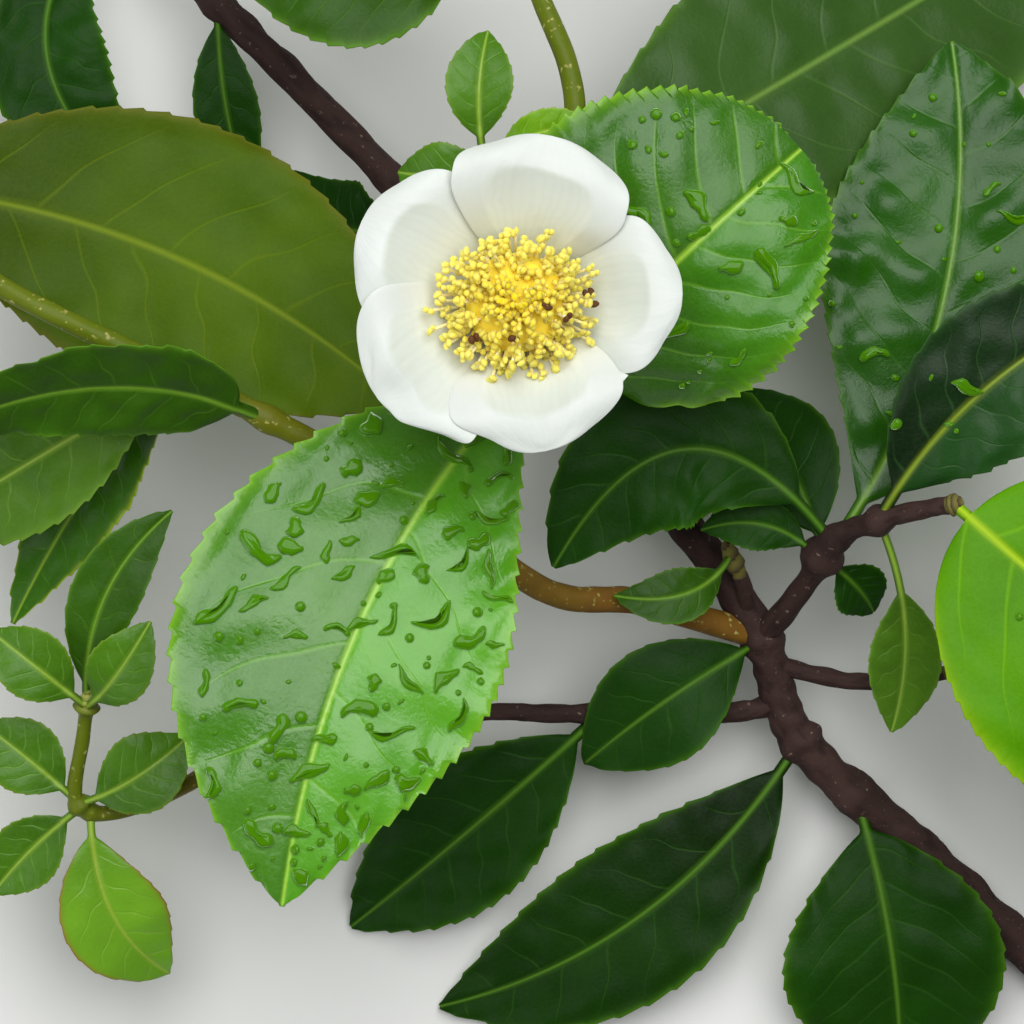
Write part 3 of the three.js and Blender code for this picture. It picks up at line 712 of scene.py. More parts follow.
twig_materials = {"bark": bark_paint(), "green_twig": green_twig_paint()}
for number, name in enumerate(STEMS):
    tube_piece(name + "_bark", *stem_grid(name, 10 * number), twig_materials[STEMS[name][3]], name)
print("triangles with the stems:", triangle_count)

# %% [markdown]
# ## How a tea leaf is made
#
# A tea leaf is a leathery blade on a short stalk. Its midrib is sunk in the upper side and
# stands out below, 7 to 9 side veins leave it on each side and bend forward, and the blade
# swells up between them like a quilt. The margin has small teeth that point forward.
#
# All leaves share one recipe, and each changes only some of its numbers.

# %% The leaves' forms
# teeth and tooth: how many on a side, and how far they stand out in millimetres
# fullness and broadest: smaller is squarer; above 1, the widest place lies beyond the middle
# lop: the share by which the right half is wider than the left one
# petiole, stalk, thick: the leaf stalk's length and radius, and the blade's thickness
# veins, quilt, swell, wave: their number, and the height of the relief that they belong to
# shade: painted shade, where the flower and other leaves shade a leaf or less light
# falls on one half: how much darker the foot is than the rest, how far along that ends, and how
# much darker the left and the right half are
# blunt: above 1, the grid's rings and the teeth crowd toward the tip, for a tip that is round
COMMON_FORM = {"teeth": 15, "tooth": 0.4, "fullness": 0.8, "broadest": 1.0, "lop": 0.0,
               "petiole": 4.0, "stalk": 0.75, "thick": 0.34, "veins": 7, "quilt": 0.16,
               "swell": 0.2, "wave": 0.35, "shade": (0.2, 0.4, 0.0, 0.08), "blunt": 1.0}
SMALL_FORM = COMMON_FORM | {"petiole": 2.4, "stalk": 0.5, "thick": 0.24, "teeth": 10,
                            "tooth": 0.18, "veins": 5, "quilt": 0.07, "swell": 0.08,
                            "wave": 0.15}
SMALL_LEAF = 30
OWN_FORMS = {
    "leaf_front_low": {"teeth": 29, "tooth": 0.7, "fullness": 0.9, "broadest": 1.2,
                       "lop": 0.08, "veins": 6, "quilt": 0.2, "swell": 0.24, "wave": 0.3,
                       "shade": (0.75, 0.1, 0.0, 0.45)},
    "leaf_front_high": {"teeth": 30, "tooth": 0.75, "fullness": 0.4, "broadest": 0.94,
                        "lop": -0.12, "petiole": 2.5, "veins": 6, "quilt": 0.3, "swell": 0.22,
                        "shade": (0.5, 0.7, 0.35, 0.0), "blunt": 2.2},
    "leaf_left_turned": {"fullness": 0.66, "broadest": 1.05, "teeth": 24, "quilt": -0.18,
                         "shade": (0.4, 0.6, 0.0, 0.0)},
    "leaf_left_folded": {"fullness": 0.7, "broadest": 0.68},
    "leaf_right_bright": {"fullness": 0.55, "broadest": 0.85, "petiole": 2.0, "teeth": 26},
    "leaf_right_upright": {"broadest": 1.15, "teeth": 24, "quilt": 0.3, "swell": 0.42,
                           "veins": 8},
    "leaf_right_dark": {"swell": 0.26, "shade": (0.2, 0.4, 0.7, 0.0)},
    "leaf_bottom_mid": {"shade": (0.4, 0.6, 0.3, 0.4)},
    "leaf_upper_right": {"fullness": 0.65, "teeth": 24, "veins": 9, "swell": 0.3},
    "leaf_top": {"fullness": 0.6},
    "leaf_mid_right": {"fullness": 0.7},
    "leaf_right_pale": {"petiole": 9.5},
    "leaf_young_a": {"petiole": 1.2},
    "leaf_young_b": {"petiole": 1.2},
    "leaf_young_c": {"petiole": 1.2},
}
for name, leaf in LEAVES.items():
    leaf.update(SMALL_FORM if leaf["length"] < SMALL_LEAF else COMMON_FORM)
    leaf.update(OWN_FORMS.get(name, {}))
    leaf["seed"] = sum(map(ord, name))
    leaf["face_down"] = leaf["roll"] == 180
print("teeth on both sides of all leaves:", 2 * sum(leaf["teeth"] for leaf in LEAVES.values()))

# %% [markdown]
# ## Midrib, outline and side veins
#
# The midrib arches from the stem to the leaf's tip, and everything else on a leaf is measured
# from it. The outline is the arc of a sine raised to a power. The side veins are worked out as
# a phase, a number that is whole on a vein, so the relief and the colour find the same veins.


# %% Midrib, outline and veins
VEIN_SLANT = 0.48
VEIN_BEND = 0.35
VEINED = 0.86


def midrib(leaf, u):
    """The midrib at u, from 0 at the foot to 1 at the tip, with the side to its right and its
    upper face there. It is a parabola over the straight line from the foot to the tip."""
    heading, pitch, roll = np.radians([leaf["heading"], leaf["pitch"], leaf["roll"]])
    foot = spline(STEMS[leaf["stem"]][0], leaf["along"])
    chord = np.array([np.cos(heading) * np.cos(pitch), np.sin(heading) * np.cos(pitch),
                      np.sin(pitch)])
    level = unit(np.cross(chord, UP))
    face = np.cross(level, chord)
    face = face * np.cos(roll) + np.cross(chord, face) * np.sin(roll)
    side = np.cross(chord, face)
    tip = foot + leaf["length"] * chord
    middle = (foot + tip) / 2 + 2 * leaf["arch"] * face + 2 * leaf["sweep"] * side
    u = np.asarray(u, float)[..., None]
    point = bezier(foot, middle, tip, u)
    way = unit((1 - u) * (middle - foot) + u * (tip - middle))
    right = unit(np.cross(way, face))
    return point, right, np.cross(right, way)


def half_width(leaf, q):
    """Half the blade's width in millimetres, q of the way from its foot to its tip: the arc of
    a sine over q to the power broadest, itself to the power fullness, and at the foot never
    less than the leaf stalk."""
    full = np.sin(np.pi * np.clip(q, 0, 0.9999) ** leaf["broadest"]) ** leaf["fullness"]
    return np.maximum(leaf["half"] * full, leaf["stalk"] * (1 - 0.6 * ramp(q, 0, 0.14)))


def vein_phase(leaf, q, v):
    """A number that is whole on each side vein and half way between two: the way along the
    blade, less a part of the way out and a part of its square, counted in veins. So a vein runs
    forward as it runs out. The two sides alternate, and no vein is quite straight."""
    y = np.abs(v) * half_width(leaf, q)
    blade = leaf["length"] - leaf["petiole"]
    x = q * blade - VEIN_SLANT * y - VEIN_BEND * y * y / leaf["half"]
    stray = 0.07 * swells(q * blade, np.sign(v) * y, leaf["seed"] + 3, 0.6 * leaf["half"])
    return x * leaf["veins"] / (VEINED * blade) + 0.45 * (v < 0) + stray


print("width of the large wet leaf, in mm:", 2 * half_width(LEAVES["leaf_front_low"], 0.5).round(1))

# %% [markdown]
# ## Relief and teeth
#
# A tea leaf is nowhere flat. The blade bulges between its veins, rolls and ripples, and its
# margin is cut into teeth that lean toward the tip. A displacement modifier could raise the
# blade, but the drops need to know the height too, so it is a function.


# %% Relief and teeth
GROOVE_DEPTH = 0.22
GROOVE_HALF = 0.6


def relief(leaf, q, v):
    """How far the middle surface stands over the smooth blade, in millimetres. It swells as a
    sine between the side veins, sinks at them and, as a bell curve, at the midrib, rolls gently
    all over, and waves at its margin by the cube of the way across."""
    y = np.abs(v) * half_width(leaf, q)
    small = np.sqrt(leaf["half"] / 20)
    quilt = np.sqrt(np.sin(np.pi * vein_phase(leaf, q, v)) ** 2 + 0.06) - 0.6
    room = ramp(y, 0.2, 3 * small) * (1 - ramp(np.abs(v), 0.72, 0.97)) * (1 - ramp(q, 0.86, 1))
    x, side = q * leaf["length"], v * half_width(leaf, q)
    roll = leaf["swell"] * swells(x, side, leaf["seed"], 11 * small) * ramp(y, 0.2, 4 * small)
    rough = 0.012 * swells(x, side, leaf["seed"] + 2, 1.6)
    edge = leaf["wave"] * np.abs(v) ** 3 * swells(x, 3 * side, leaf["seed"] + 1, 14)
    groove = -GROOVE_DEPTH * small * np.exp(-(y / (GROOVE_HALF * small)) ** 2)
    groove = -groove if leaf["face_down"] else groove
    return leaf["quilt"] * quilt * room + roll + rough + edge + groove


def tooth_reach(leaf, q, v):
    """How far the margin is pushed out by the teeth, in millimetres. Each tooth rises slowly
    toward the tip of the leaf, as a saw's tooth to the power 1.4, and then drops."""
    station = 1 - (1 - q) ** (1 / leaf["blunt"])
    rise = ((station * leaf["teeth"] + 0.4 * (v < 0)) % 1) ** 1.4
    room = ramp(station, 0.08, 0.2) * (1 - ramp(station, 0.94, 1))
    return leaf["tooth"] * (rise - 0.4) * np.abs(v) ** 10 * room


heights = relief(LEAVES["leaf_front_low"], np.linspace(0.1, 0.9, 50)[:, None], np.linspace(-1, 1, 50))
print("relief of the large wet leaf, in mm:", heights.min().round(2), "to", heights.max().round(2))

# %% [markdown]
# ## One point of a leaf
#
# One function places every point of a leaf, from its way along the blade, its share across it
# and its height over the middle surface. The blade's surface uses it, and so do the drops.


# %% Points of a leaf
BLADE_START = 0.14


def leaf_point(leaf, q, v, lift):
    """The point q of the way along the blade and v of the way across it, from -1 at the left
    margin to 1 at the right one, and lift millimetres over the middle surface. The teeth stand
    square to the margin, so where the blade narrows they also reach forward."""
    blend = ramp(q, 0, BLADE_START)
    start = leaf["petiole"] / leaf["length"]
    point, right, face = midrib(leaf, start + (1 - start) * q)
    fold, curl = np.radians(leaf["fold"]) * blend, np.radians(leaf["curl"]) * blend
    slope = fold - curl * np.abs(v) / 2
    wide = half_width(leaf, q) * (1 + leaf["lop"] * np.sign(v) * blend)
    narrowing = (half_width(leaf, q - 0.002) - half_width(leaf, q + 0.002)) / (
        0.004 * (leaf["length"] - leaf["petiole"]))
    tooth, norm = tooth_reach(leaf, q, v), np.hypot(1, narrowing)
    reach = wide * np.abs(v) + tooth / norm
    ahead = tooth * narrowing / norm
    up = reach * np.sin(slope) + relief(leaf, q, v) * blend + lift
    return (point + right * (np.sign(v) * reach * np.cos(slope))[..., None]
            + face * up[..., None] + np.cross(face, right) * ahead[..., None])


sample = leaf_point(LEAVES["leaf_front_low"], np.array([0.0, 1.0]), np.zeros(2), np.zeros(2))
print("blade of the large wet leaf, in mm:", np.linalg.norm(sample[1] - sample[0]).round(1))

# %% [markdown]
# ## The whole leaf as one tube
#
# The leaf is one closed tube. Its ring is round in the leaf stalk and flattens into a thin lens
# in the blade, with a keel below where the midrib stands out. Each point also keeps the numbers
# that the leaf's material reads, such as how near it is to the midrib.


# %% Leaves as grids
KEEL = 0.3
KEEL_HALF = 0.7
PETIOLE_RINGS = 5
RINGS_PER_MM = 1.5
MANY_TEETH = 20


def leaf_grid(leaf, upper, lower):
    """The surface of a whole leaf, with so many points round the upper and the lower side of a
    ring, and the numbers that its material reads. Round a ring, the way across is the angle's
    cosine and the height its sine, both to powers that turn the leaf stalk's circle into the
    blade's flat lens."""
    blade = leaf["length"] - leaf["petiole"]
    per_tooth = 8 if leaf["teeth"] > MANY_TEETH else 6
    stations = max(leaf["teeth"] * per_tooth, int(blade * RINGS_PER_MM))
    station = np.linspace(0, 1, stations + 1)
    q = np.concatenate([np.zeros(PETIOLE_RINGS), 1 - (1 - station) ** leaf["blunt"]])
    u = np.linspace(0, leaf["petiole"] / leaf["length"], PETIOLE_RINGS, endpoint=False)
    q, angle = q[:, None], lens(upper, lower)[None, :]
    blend = ramp(q, 0, BLADE_START)
    c, s = np.cos(angle), np.sin(angle)
    v = squared_off(c, 1 + 0.45 * blend)
    flat = squared_off(s, 1 - 0.55 * blend)
    thick = leaf["stalk"] + (leaf["thick"] / 2 - leaf["stalk"]) * blend
    y = np.abs(v) * half_width(leaf, q)
    under = (s > 0) if leaf["face_down"] else (s < 0)
    keel = KEEL * blend * np.exp(-(y / KEEL_HALF) ** 2) * (1 - ramp(q, 0.6, 1)) * under
    q = np.broadcast_to(q, v.shape)
    grid = leaf_point(leaf, q, v, flat * (thick + keel))
    point, right, face = midrib(leaf, u)
    ring = (right[:, None] * c[..., None] + face[:, None] * s[..., None]) * leaf["stalk"]
    grid[:PETIOLE_RINGS] = point[:, None] + ring
    spacing = VEINED * blade / leaf["veins"]
    # painted shade: the foot and the halves of the leaf are darkened where shade falls on them
    foot, end, left_painted_shade, right_painted_shade = leaf["shade"]
    shade = (foot * (1 - ramp(q, 0.25 * end, end)) + left_painted_shade * ramp(v, 0.03, -0.03)
             + right_painted_shade * ramp(v, -0.03, 0.03))
    return grid, {
        "rib": np.exp(-(y / ((0.2 + 0.011 * leaf["half"]) * (1.1 - 0.6 * q))) ** 2),
        "phase": vein_phase(leaf, q, v),
        "fine": (0.1 + 0.008 * leaf["half"]) / spacing * (1 - 0.6 * np.abs(v)),
        "room": ramp(y, 0.1, 1) * (1 - ramp(np.abs(v), 0.6, 0.97)),
        "shade": shade,
        "edge": np.abs(v) ** 24 * ramp(q, 0, 0.1),
        "under": under * ramp(np.abs(s), 0, 0.2),
    }


print("rings of a small leaf:", len(leaf_grid(LEAVES["leaf_young_a"], 24, 14)[0]))

# %% [markdown]
# ## Leaf colours
#
# All leaves share one recipe and differ in their colours: the blade, its lighter veins and
# midrib, the rim of the teeth and the duller underside. Old leaves are dark and young ones are
# yellow-green, so each leaf's row names one of these looks. The dark look is darker still as
# painted shade, for the old leaves that lie in the shade of others.

# %% Leaf looks
LOOKS = {
    # blade, second blade colour, veins, midrib, rim, roughness and shine
    "wet": ((90, 160, 26), (72, 142, 12), (114, 174, 46), (152, 200, 60),
            (116, 172, 32), 0.29, 0.46),
    "wet_bright": ((70, 134, 8), (52, 114, 2), (112, 166, 44), (158, 202, 58),
                   (122, 176, 34), 0.32, 0.36),
    "turned": ((76, 104, 0), (60, 88, 0), (96, 118, 6), (112, 132, 20), (92, 96, 14), 0.55, 0.12),
    "mid": ((48, 90, 2), (36, 72, 0), (72, 116, 20), (106, 148, 38), (86, 132, 26), 0.44, 0.16),
    "dull": ((54, 90, 28), (42, 76, 16), (70, 108, 40), (104, 140, 54), (84, 124, 38), 0.44, 0.2),
    "pale": ((76, 118, 18), (58, 98, 8), (102, 142, 42), (134, 164, 58), (106, 144, 44), 0.44, 0.2),
    "rimmed": ((50, 98, 6), (38, 80, 2), (76, 122, 22), (122, 156, 36), (152, 174, 28), 0.42, 0.2),
    "fresh": ((74, 122, 12), (58, 104, 4), (104, 152, 44), (140, 172, 58), (112, 144, 32),
              0.38, 0.25),
    "reddish": ((116, 172, 34), (98, 154, 20), (134, 178, 54), (152, 178, 60), (144, 96, 42),
                0.36, 0.3),
    "lime": ((118, 166, 22), (98, 148, 10), (140, 184, 48), (162, 198, 68), (142, 170, 48),
             0.38, 0.25),
    "deep": ((30, 74, 22), (20, 58, 12), (50, 88, 38), (130, 152, 40), (44, 82, 30), 0.42, 0.18),
    "bright": ((92, 158, 0), (76, 140, 0), (122, 178, 8), (164, 196, 30), (130, 170, 14),
               0.46, 0.1),
    "quilted": ((38, 90, 4), (24, 72, 0), (56, 104, 24), (104, 146, 44), (70, 112, 32),
                0.32, 0.3),
    # dark: an old leaf's deep green, darkened further as painted shade for leaves under others
    "dark": ((24, 66, 2), (14, 50, 0), (38, 82, 12), (76, 118, 28), (62, 108, 10), 0.48, 0.1),
}
print("looks:", len(LOOKS), "of them in use:", len({leaf["look"] for leaf in LEAVES.values()}))

# %% [markdown]
# ## The leaves' material
#
# Slow noise varies the blade from place to place, and a network of cells stands for the finest
# veins. The side veins come from the stored phase, which is worked out for each point of the
# picture, so they stay sharp between the mesh's points. A picture of a leaf would be blurred
# when seen this close. On a wet leaf, patches of a smoother film shine more. Painted shade
# darkens the blade where the flower or other leaves shade it.

# %% Leaf materials
# how deep the painted shade colour is, as a share of the second blade colour
PAINTED_SHADE_DEPTH = 0.42
MATT = (130, 150, 80)


def vein_line(paint):
    """1 on a side vein, falling to 0 at its stored width, from the stored phase."""
    phase = paint.math("FRACT", paint.plus(paint.value("phase"), 0.5))
    away = paint.math("ABSOLUTE", paint.math("SUBTRACT", phase, 0.5))
    line = paint.between(paint.math("DIVIDE", away, paint.value("fine")), 1.8, 0.2)
    return paint.times(line, paint.value("room"))


def leaf_paint(look):
    """A leathery leaf in the colours of one look. The turned leaf shows the camera its
    underside, so that side gets the blade's colours and some brown spots."""
    blade, second, vein, rib, rim, roughness, shine = LOOKS[look]
    # painted shade colour: a deep green that the blade turns toward where the leaf lies in shade
    dark = srgb(*(PAINTED_SHADE_DEPTH * np.array(second)))
    paint = Paint("leaf_" + look, roughness).set(SHINE, shine)
    line = vein_line(paint)
    ground = paint.mix(paint.between(paint.noise(0.07, 4), 0.3, 0.7), srgb(*blade), srgb(*second))
    # painted shade: the blade darkens toward the painted shade colour by the stored amount
    ground = paint.mix(paint.value("shade"), ground, dark)
    fine = paint.between(paint.cells(1.1), 0.1, 0.0)
    ground = paint.mix(paint.times(fine, 0.08), ground, srgb(*vein))
    ground = paint.mix(paint.times(line, 0.36), ground, srgb(*vein))
    ground = paint.mix(paint.value("edge"), ground, srgb(*rim))
    ground = paint.mix(paint.times(paint.value("rib"), 0.9), ground, srgb(*rib))
    dull = srgb(*(0.6 * np.array(blade) + 0.4 * np.array(MATT)))
    if look == "turned":
        dull = paint.mix(paint.noise(0.08, 4), srgb(*blade), srgb(*second))
        # painted shade on the turned leaf's underside as well
        dull = paint.mix(paint.value("shade"), dull, dark)
        spots = paint.between(paint.noise(0.2, 2), 0.68, 0.74)
        dull = paint.mix(paint.times(spots, 0.7), dull, srgb(92, 62, 20))
    below = paint.mix(paint.times(line, 0.4), dull, srgb(*vein))
    below = paint.mix(paint.times(paint.value("rib"), 0.8), below, srgb(*rib))
    paint.set("Base Color", paint.mix(paint.value("under"), ground, below))
    rough = paint.times(paint.noise(0.3, 3), 0.16)
    if look.startswith("wet"):
        film = paint.between(paint.noise(0.1, 3), 0.52, 0.6)
        rough = paint.math("SUBTRACT", rough, paint.times(film, 0.13))
    rough = paint.plus(rough, paint.times(paint.value("under"), 0.2))
    paint.set("Roughness", paint.plus(rough, roughness - 0.08))
    height = paint.plus(paint.times(paint.between(paint.cells(1.3), 0, 0.3), 0.3),
                        paint.noise(1.9, 4, 0.65))
    height = paint.math("SUBTRACT", height, paint.times(line, 1.2))
    return paint.bump(height, 0.05, 0.7).material


leaf_materials = {look: leaf_paint(look) for look in LOOKS}
print("leaf materials:", len(leaf_materials))

# %% [markdown]
# ## Dressing the leaves
#
# The leaves near the camera show every tooth and ripple, so their rings have more points. The
# others have fewer, which keeps the whole branch light.

# %% The leaves as pieces
COMMON_RING = (34, 18)
SMALL_RING = (24, 14)
FINE_RINGS = {"leaf_front_low": (72, 28), "leaf_front_high": (72, 28),
              "leaf_right_upright": (60, 24), "leaf_left_turned": (60, 30),
              "leaf_right_bright": (56, 24)}
for name, leaf in LEAVES.items():
    common = COMMON_RING if leaf["length"] >= SMALL_LEAF else SMALL_RING
    upper, lower = FINE_RINGS.get(name, common)
    tube_piece(name + "_blade", *leaf_grid(leaf, upper, lower), leaf_materials[leaf["look"]], name)
print("triangles with the leaves:", triangle_count)

# %% [markdown]
# ## The cup that the petals lie on
#
# The flower is a shallow cup of five broad white petals that overlap. Modelled one by one,
# such petals would cut deep through one another. So all five lie on one cup, each in its own
# layer, and the gentle waves belong to the cup and not to a petal. Two pairs still cross a
# little, where the side of the lower petal rises into the upper one.

# %% The cup
FLOWER = np.array([0.7, 24.8, 53.5])
CUP_RADIUS = 19.5
CUP_HEIGHT = 12
CUP_WAVES = 12
PETAL_ROOT = 3.2


def cup_point(x, y, lift):
    """The point of the cup over x and y, and lift millimetres off it. The cup is a parabola
    that rises from the petals' feet and levels out at the rim."""
    reach = np.hypot(x, y)
    share = 1 - (reach - PETAL_ROOT) / (CUP_RADIUS - PETAL_ROOT)
    slope = 2 * CUP_HEIGHT * share / (CUP_RADIUS - PETAL_ROOT)
    norm = np.hypot(1, slope)
    inward = 1 - lift * slope / norm / reach
    height = CUP_HEIGHT * (1 - share * share) + lift / norm
    return FLOWER + np.stack([x * inward, y * inward, height], -1)


def crinkle(x, y):
    """Gentle waves of the cup that grow from nothing at half its radius toward its rim: the sum
    of seeded sines that run 4 to 11 times round it, each lower the more often it runs."""
    reach, turn = np.hypot(x, y), np.arctan2(y, x)
    rng = np.random.default_rng(5)
    total = np.zeros_like(reach)
    for _ in range(CUP_WAVES):
        k = int(rng.integers(4, 12))
        phase = rng.uniform(0, 6.28) + 0.5 * reach * rng.uniform(-1, 1)
        total += np.sin(k * turn + phase) / k**0.5
    return 0.2 * total * ramp(reach, 8, 19)


print("height of the cup's rim over its foot, in mm:", CUP_HEIGHT)

# %% [markdown]
# ## The petals' outline and rim
#
# A petal has a narrow foot and a broad blunt tip. Along its rim it turns down, which shows as
# a bright band round the cup, whose hollow is also greyed as painted shade. How far a point is
# from the rim sets how much it turns.

# %% The petals' rows
PETAL_FOOT = 1.1
PETAL_LAYER = 0.95
RIM_WIDTH = 3.4
PETALS = {
    # heading, reach, half the width, layer, rise of the two sides, scallops of the rim, and how
    # far the rim turns down on the left side, at the tip and on the right side
    "petal_right": (0, 18.7, 8.9, 0, 0.2, 0.2, 0.4, 1.1, 0.5),
    "petal_upper_left": (155, 19.8, 9.4, 0, 0.2, 0.2, 1.2, 1.9, 0.5),
    "petal_top": (78, 18.4, 10.5, 1, 1.0, 0.24, 0.5, 2.1, 1.0),
    "petal_lower_left": (217, 20, 10.2, 1, 1.0, 0.7, 0.5, 1.8, 0.7),
    "petal_bottom": (280, 18.2, 10.4, 2, 1.4, 0.3, 0.5, 1.6, 1.3),
}
# where along its left side a petal has a small torn point
TORN_POINTS = {"petal_bottom": 0.57}
NOT_TORN = 2


def petal_half_width(half, q):
    """Narrow at the foot, broadest two thirds of the way out, and blunt at the tip, where it
    falls to nothing: the foot's width, and over it the square root of a sine's arc."""
    bulge = np.sin(np.pi * np.clip(q, 0, 1) ** 1.35).clip(0, 1) ** 0.5
    return PETAL_FOOT * (1 - q**6) + (half - PETAL_FOOT) * bulge


def rim_turn(half, reach, q, v):
    """0 in the middle of a petal, and from RIM_WIDTH off its rim on rising to 1 at the rim. The
    distance to the rim joins those to the side and to the tip: 1/d^2 = 1/a^2 + 1/b^2."""
    to_side = np.maximum(petal_half_width(half, q) * (1 - np.abs(v)), 0.01)
    to_tip = np.maximum((reach - PETAL_ROOT) * (1 - q), 0.01)
    distance = 1 / np.sqrt(1 / to_side**2 + 1 / to_tip**2)
    return np.clip(1 - distance / RIM_WIDTH, 0, 1)


print("petals:", len(PETALS))

# %% [markdown]
# ## The petals' surface
#
# A petal is one closed tube, like a leaf: thicker at the foot and as thin as paper at the rim.
# Fine ribs run out from its foot. Its two sides rise a little off the cup, so that it lies
# over its neighbours as petals do.


# %% Petals as grids
FOOT_THICK = 0.32
RIM_THICK = 0.14
RIBS = 26
RIB_HEIGHT = 0.018


def petal_grid(name, seed, stations=80, upper=72, lower=36):
    """The surface of a whole petal, and the numbers that its material reads. Round a ring, the
    way across is the angle's cosine, and the height is half the thickness times the square root
    of its sine. The rings crowd toward the foot and the tip, where the outline bends most."""
    heading, reach, half, layer, spoon, scallop, left, tip, right = PETALS[name]
    heading = np.radians(heading)
    q = ((1 - np.cos(np.pi * np.linspace(0, 1, stations))) / 2)[:, None]
    angle = lens(upper, lower)[None, :]
    v = np.cos(angle) * np.ones_like(q)
    width = petal_half_width(half, q)
    width = width + scallop * waves(9 * q, 2 * np.sign(v), seed, 6, 2.0) * ramp(q, 0.2, 0.6)
    torn = TORN_POINTS.get(name, NOT_TORN)
    width = (width + 0.8 * np.exp(-((q - torn) / 0.025) ** 2) * (v < 0)) * ramp(q, 1, 0.995)
    out = PETAL_ROOT + (reach - PETAL_ROOT) * q
    uneven = 0.4 * v * v + scallop * waves(7 * v, 0 * v, seed + 1, 6, 1.0)
    out = out - uneven * ramp(q, 0.6, 0.9) * ramp(q, 1, 0.9)
    x = out * np.cos(heading) + width * v * np.sin(heading)
    y = out * np.sin(heading) - width * v * np.cos(heading)
    thick = FOOT_THICK - (FOOT_THICK - RIM_THICK) * ramp(q, 0.2, 1)
    flat = squared_off(np.sin(angle), 0.5)
    turned = rim_turn(half, reach, q, v)
    ahead = ramp(q, 0.55, 0.92)
    curl = tip * ahead + np.where(v < 0, left, right) * (1 - ahead)
    side = v * width / half
    own = 0.12 * waves(5 * q, 3 * side, seed + 2, 8, 1.5) * turned
    ribs = RIB_HEIGHT * np.sin(RIBS * v + 2 * waves(4 * q, v, seed + 3, 5, 1.0))
    ribs = ribs * ramp(q, 0.1, 0.5)
    lift = (layer * PETAL_LAYER + spoon * q * side**2 + flat * thick / 2 + crinkle(x, y) + own
            + ribs * (1 - turned) - curl * turned)
    return cup_point(x, y, lift), {"out": q, "across": v, "turned": turned}


print("points of one petal:", petal_grid("petal_top", 0)[0].shape[:2])

# %% [markdown]
# ## The petals' colour
#
# A white petal is nowhere quite white. It is cream at the foot, and the hollow of the cup is
# greyed toward the rim as painted shade, so the rim shows brightest. It also lets some light
# through, which subsurface scattering imitates.


# %% Petal material and pieces
def petal_paint():
    """White and slightly see-through, with painted shade that greys the hollow inside the cup,
    cream at the foot, faint veins that run out from the foot, and a satin surface."""
    paint = Paint("petal", 0.5)
    fan = paint.times(paint.value("across"), 30)
    bent = paint.plus(fan, paint.times(paint.noise(0.15, 3), 9))
    vein = paint.math("POWER", paint.math("ABSOLUTE", paint.math("SINE", bent)), 4)
    ground = paint.mix(paint.noise(0.12, 3), srgb(221, 226, 222), srgb(208, 215, 204))
    # painted shade: inside the rim, the hollow of the cup greys toward its crease
    inside = paint.between(paint.value("turned"), 0.1, 0.0)
    cup = paint.mix(paint.between(paint.value("out"), 0.4, 0.85),
                    srgb(226, 232, 222), srgb(190, 198, 184))
    ground = paint.mix(paint.times(inside, 0.85), ground, cup)
    veined = paint.times(paint.times(vein, inside), 0.1)
    ground = paint.mix(veined, ground, srgb(190, 197, 180))
    foot = paint.between(paint.value("out"), 0.5, 0.05)
    ground = paint.mix(paint.times(foot, 0.5), ground, srgb(244, 243, 214))
    paint.set("Base Color", ground)
    paint.set("Subsurface Weight", 0.2).set("Subsurface Scale", 1.5 * MM)
    paint.set("Subsurface Radius", (1.0, 1.0, 0.8))
    height = paint.plus(paint.times(vein, 0.2), paint.noise(1.2, 3))
    return paint.bump(height, 0.05, 0.6).material


petal_material = petal_paint()
for number, name in enumerate(PETALS):
    tube_piece(name + "_surface", *petal_grid(name, 50 + 10 * number), petal_material, name)
print("triangles with the petals:", triangle_count)

# %% [markdown]
# ## Stamens
#
# About four hundred stamens stand in the middle of the cup: pale threads that lean outward,
# each with a yellow anther of two lobes. They spread as the seeds of a sunflower do, a turn of
# 137.5 degrees from one to the next, which fills a disc evenly. Particles or copied objects
# could scatter them, but all threads are one mesh and all lobes another, made as arrays with
# one more axis for the number of the stamen.

# %% Many tubes in one mesh
def joined(grids, ends=None):
    """Points and faces of many closed tubes in one mesh, from a stack of their grids. The ends
    are the middles of each tube's first and last rings, unless they are given."""
    count, rings, around = grids.shape[:3]
    if ends is None:
        ends = np.stack([grids[:, 0].mean(axis=1), grids[:, -1].mean(axis=1)], axis=1)
    points = np.concatenate([grids.reshape(count, -1, 3), ends], axis=1)
    faces = tube_faces(rings, around)[None] + np.arange(count)[:, None, None] * points.shape[1]
    return points.reshape(-1, 3), faces.reshape(-1, 3)


def many_tubes(centres, radii, around, reference):
    """Points and faces of many tubes at once. centres holds, for each tube, the middles of its
    rings; radii their sizes; reference a direction for each tube that it never points along. A
    point stands off its middle by the radius times its angle's cosine one way and sine the
    other, both square to the tube."""
    way = unit(np.gradient(centres, axis=1))
    side = unit(np.cross(way, reference[:, None]))
    lift = np.cross(side, way)
    angle = circle(around)[:, None]
    grids = centres[:, :, None] + radii[..., None, None] * (
        side[:, :, None] * np.cos(angle) + lift[:, :, None] * np.sin(angle))
    return joined(grids, centres[:, [0, -1]])


example = many_tubes(np.zeros((2, 3, 3)) + np.arange(3)[:, None], np.ones((2, 3)), 8,
                     np.array([[0.0, 0.0, 1.0]]))
print("points and triangles of two short tubes:", len(example[0]), len(example[1]))

# %% [markdown]
# ## Where the stamens stand
#
# The threads leave a small ring round the ovary and bend outward like the jets of a fountain.
# The brush is highest in the middle and leans a little to the lower left. Its heads are kept
# above the cup, but some of them still touch the petal in the highest layer. A thread is a
# Bezier curve from its foot to its head, bent by a knee between them.

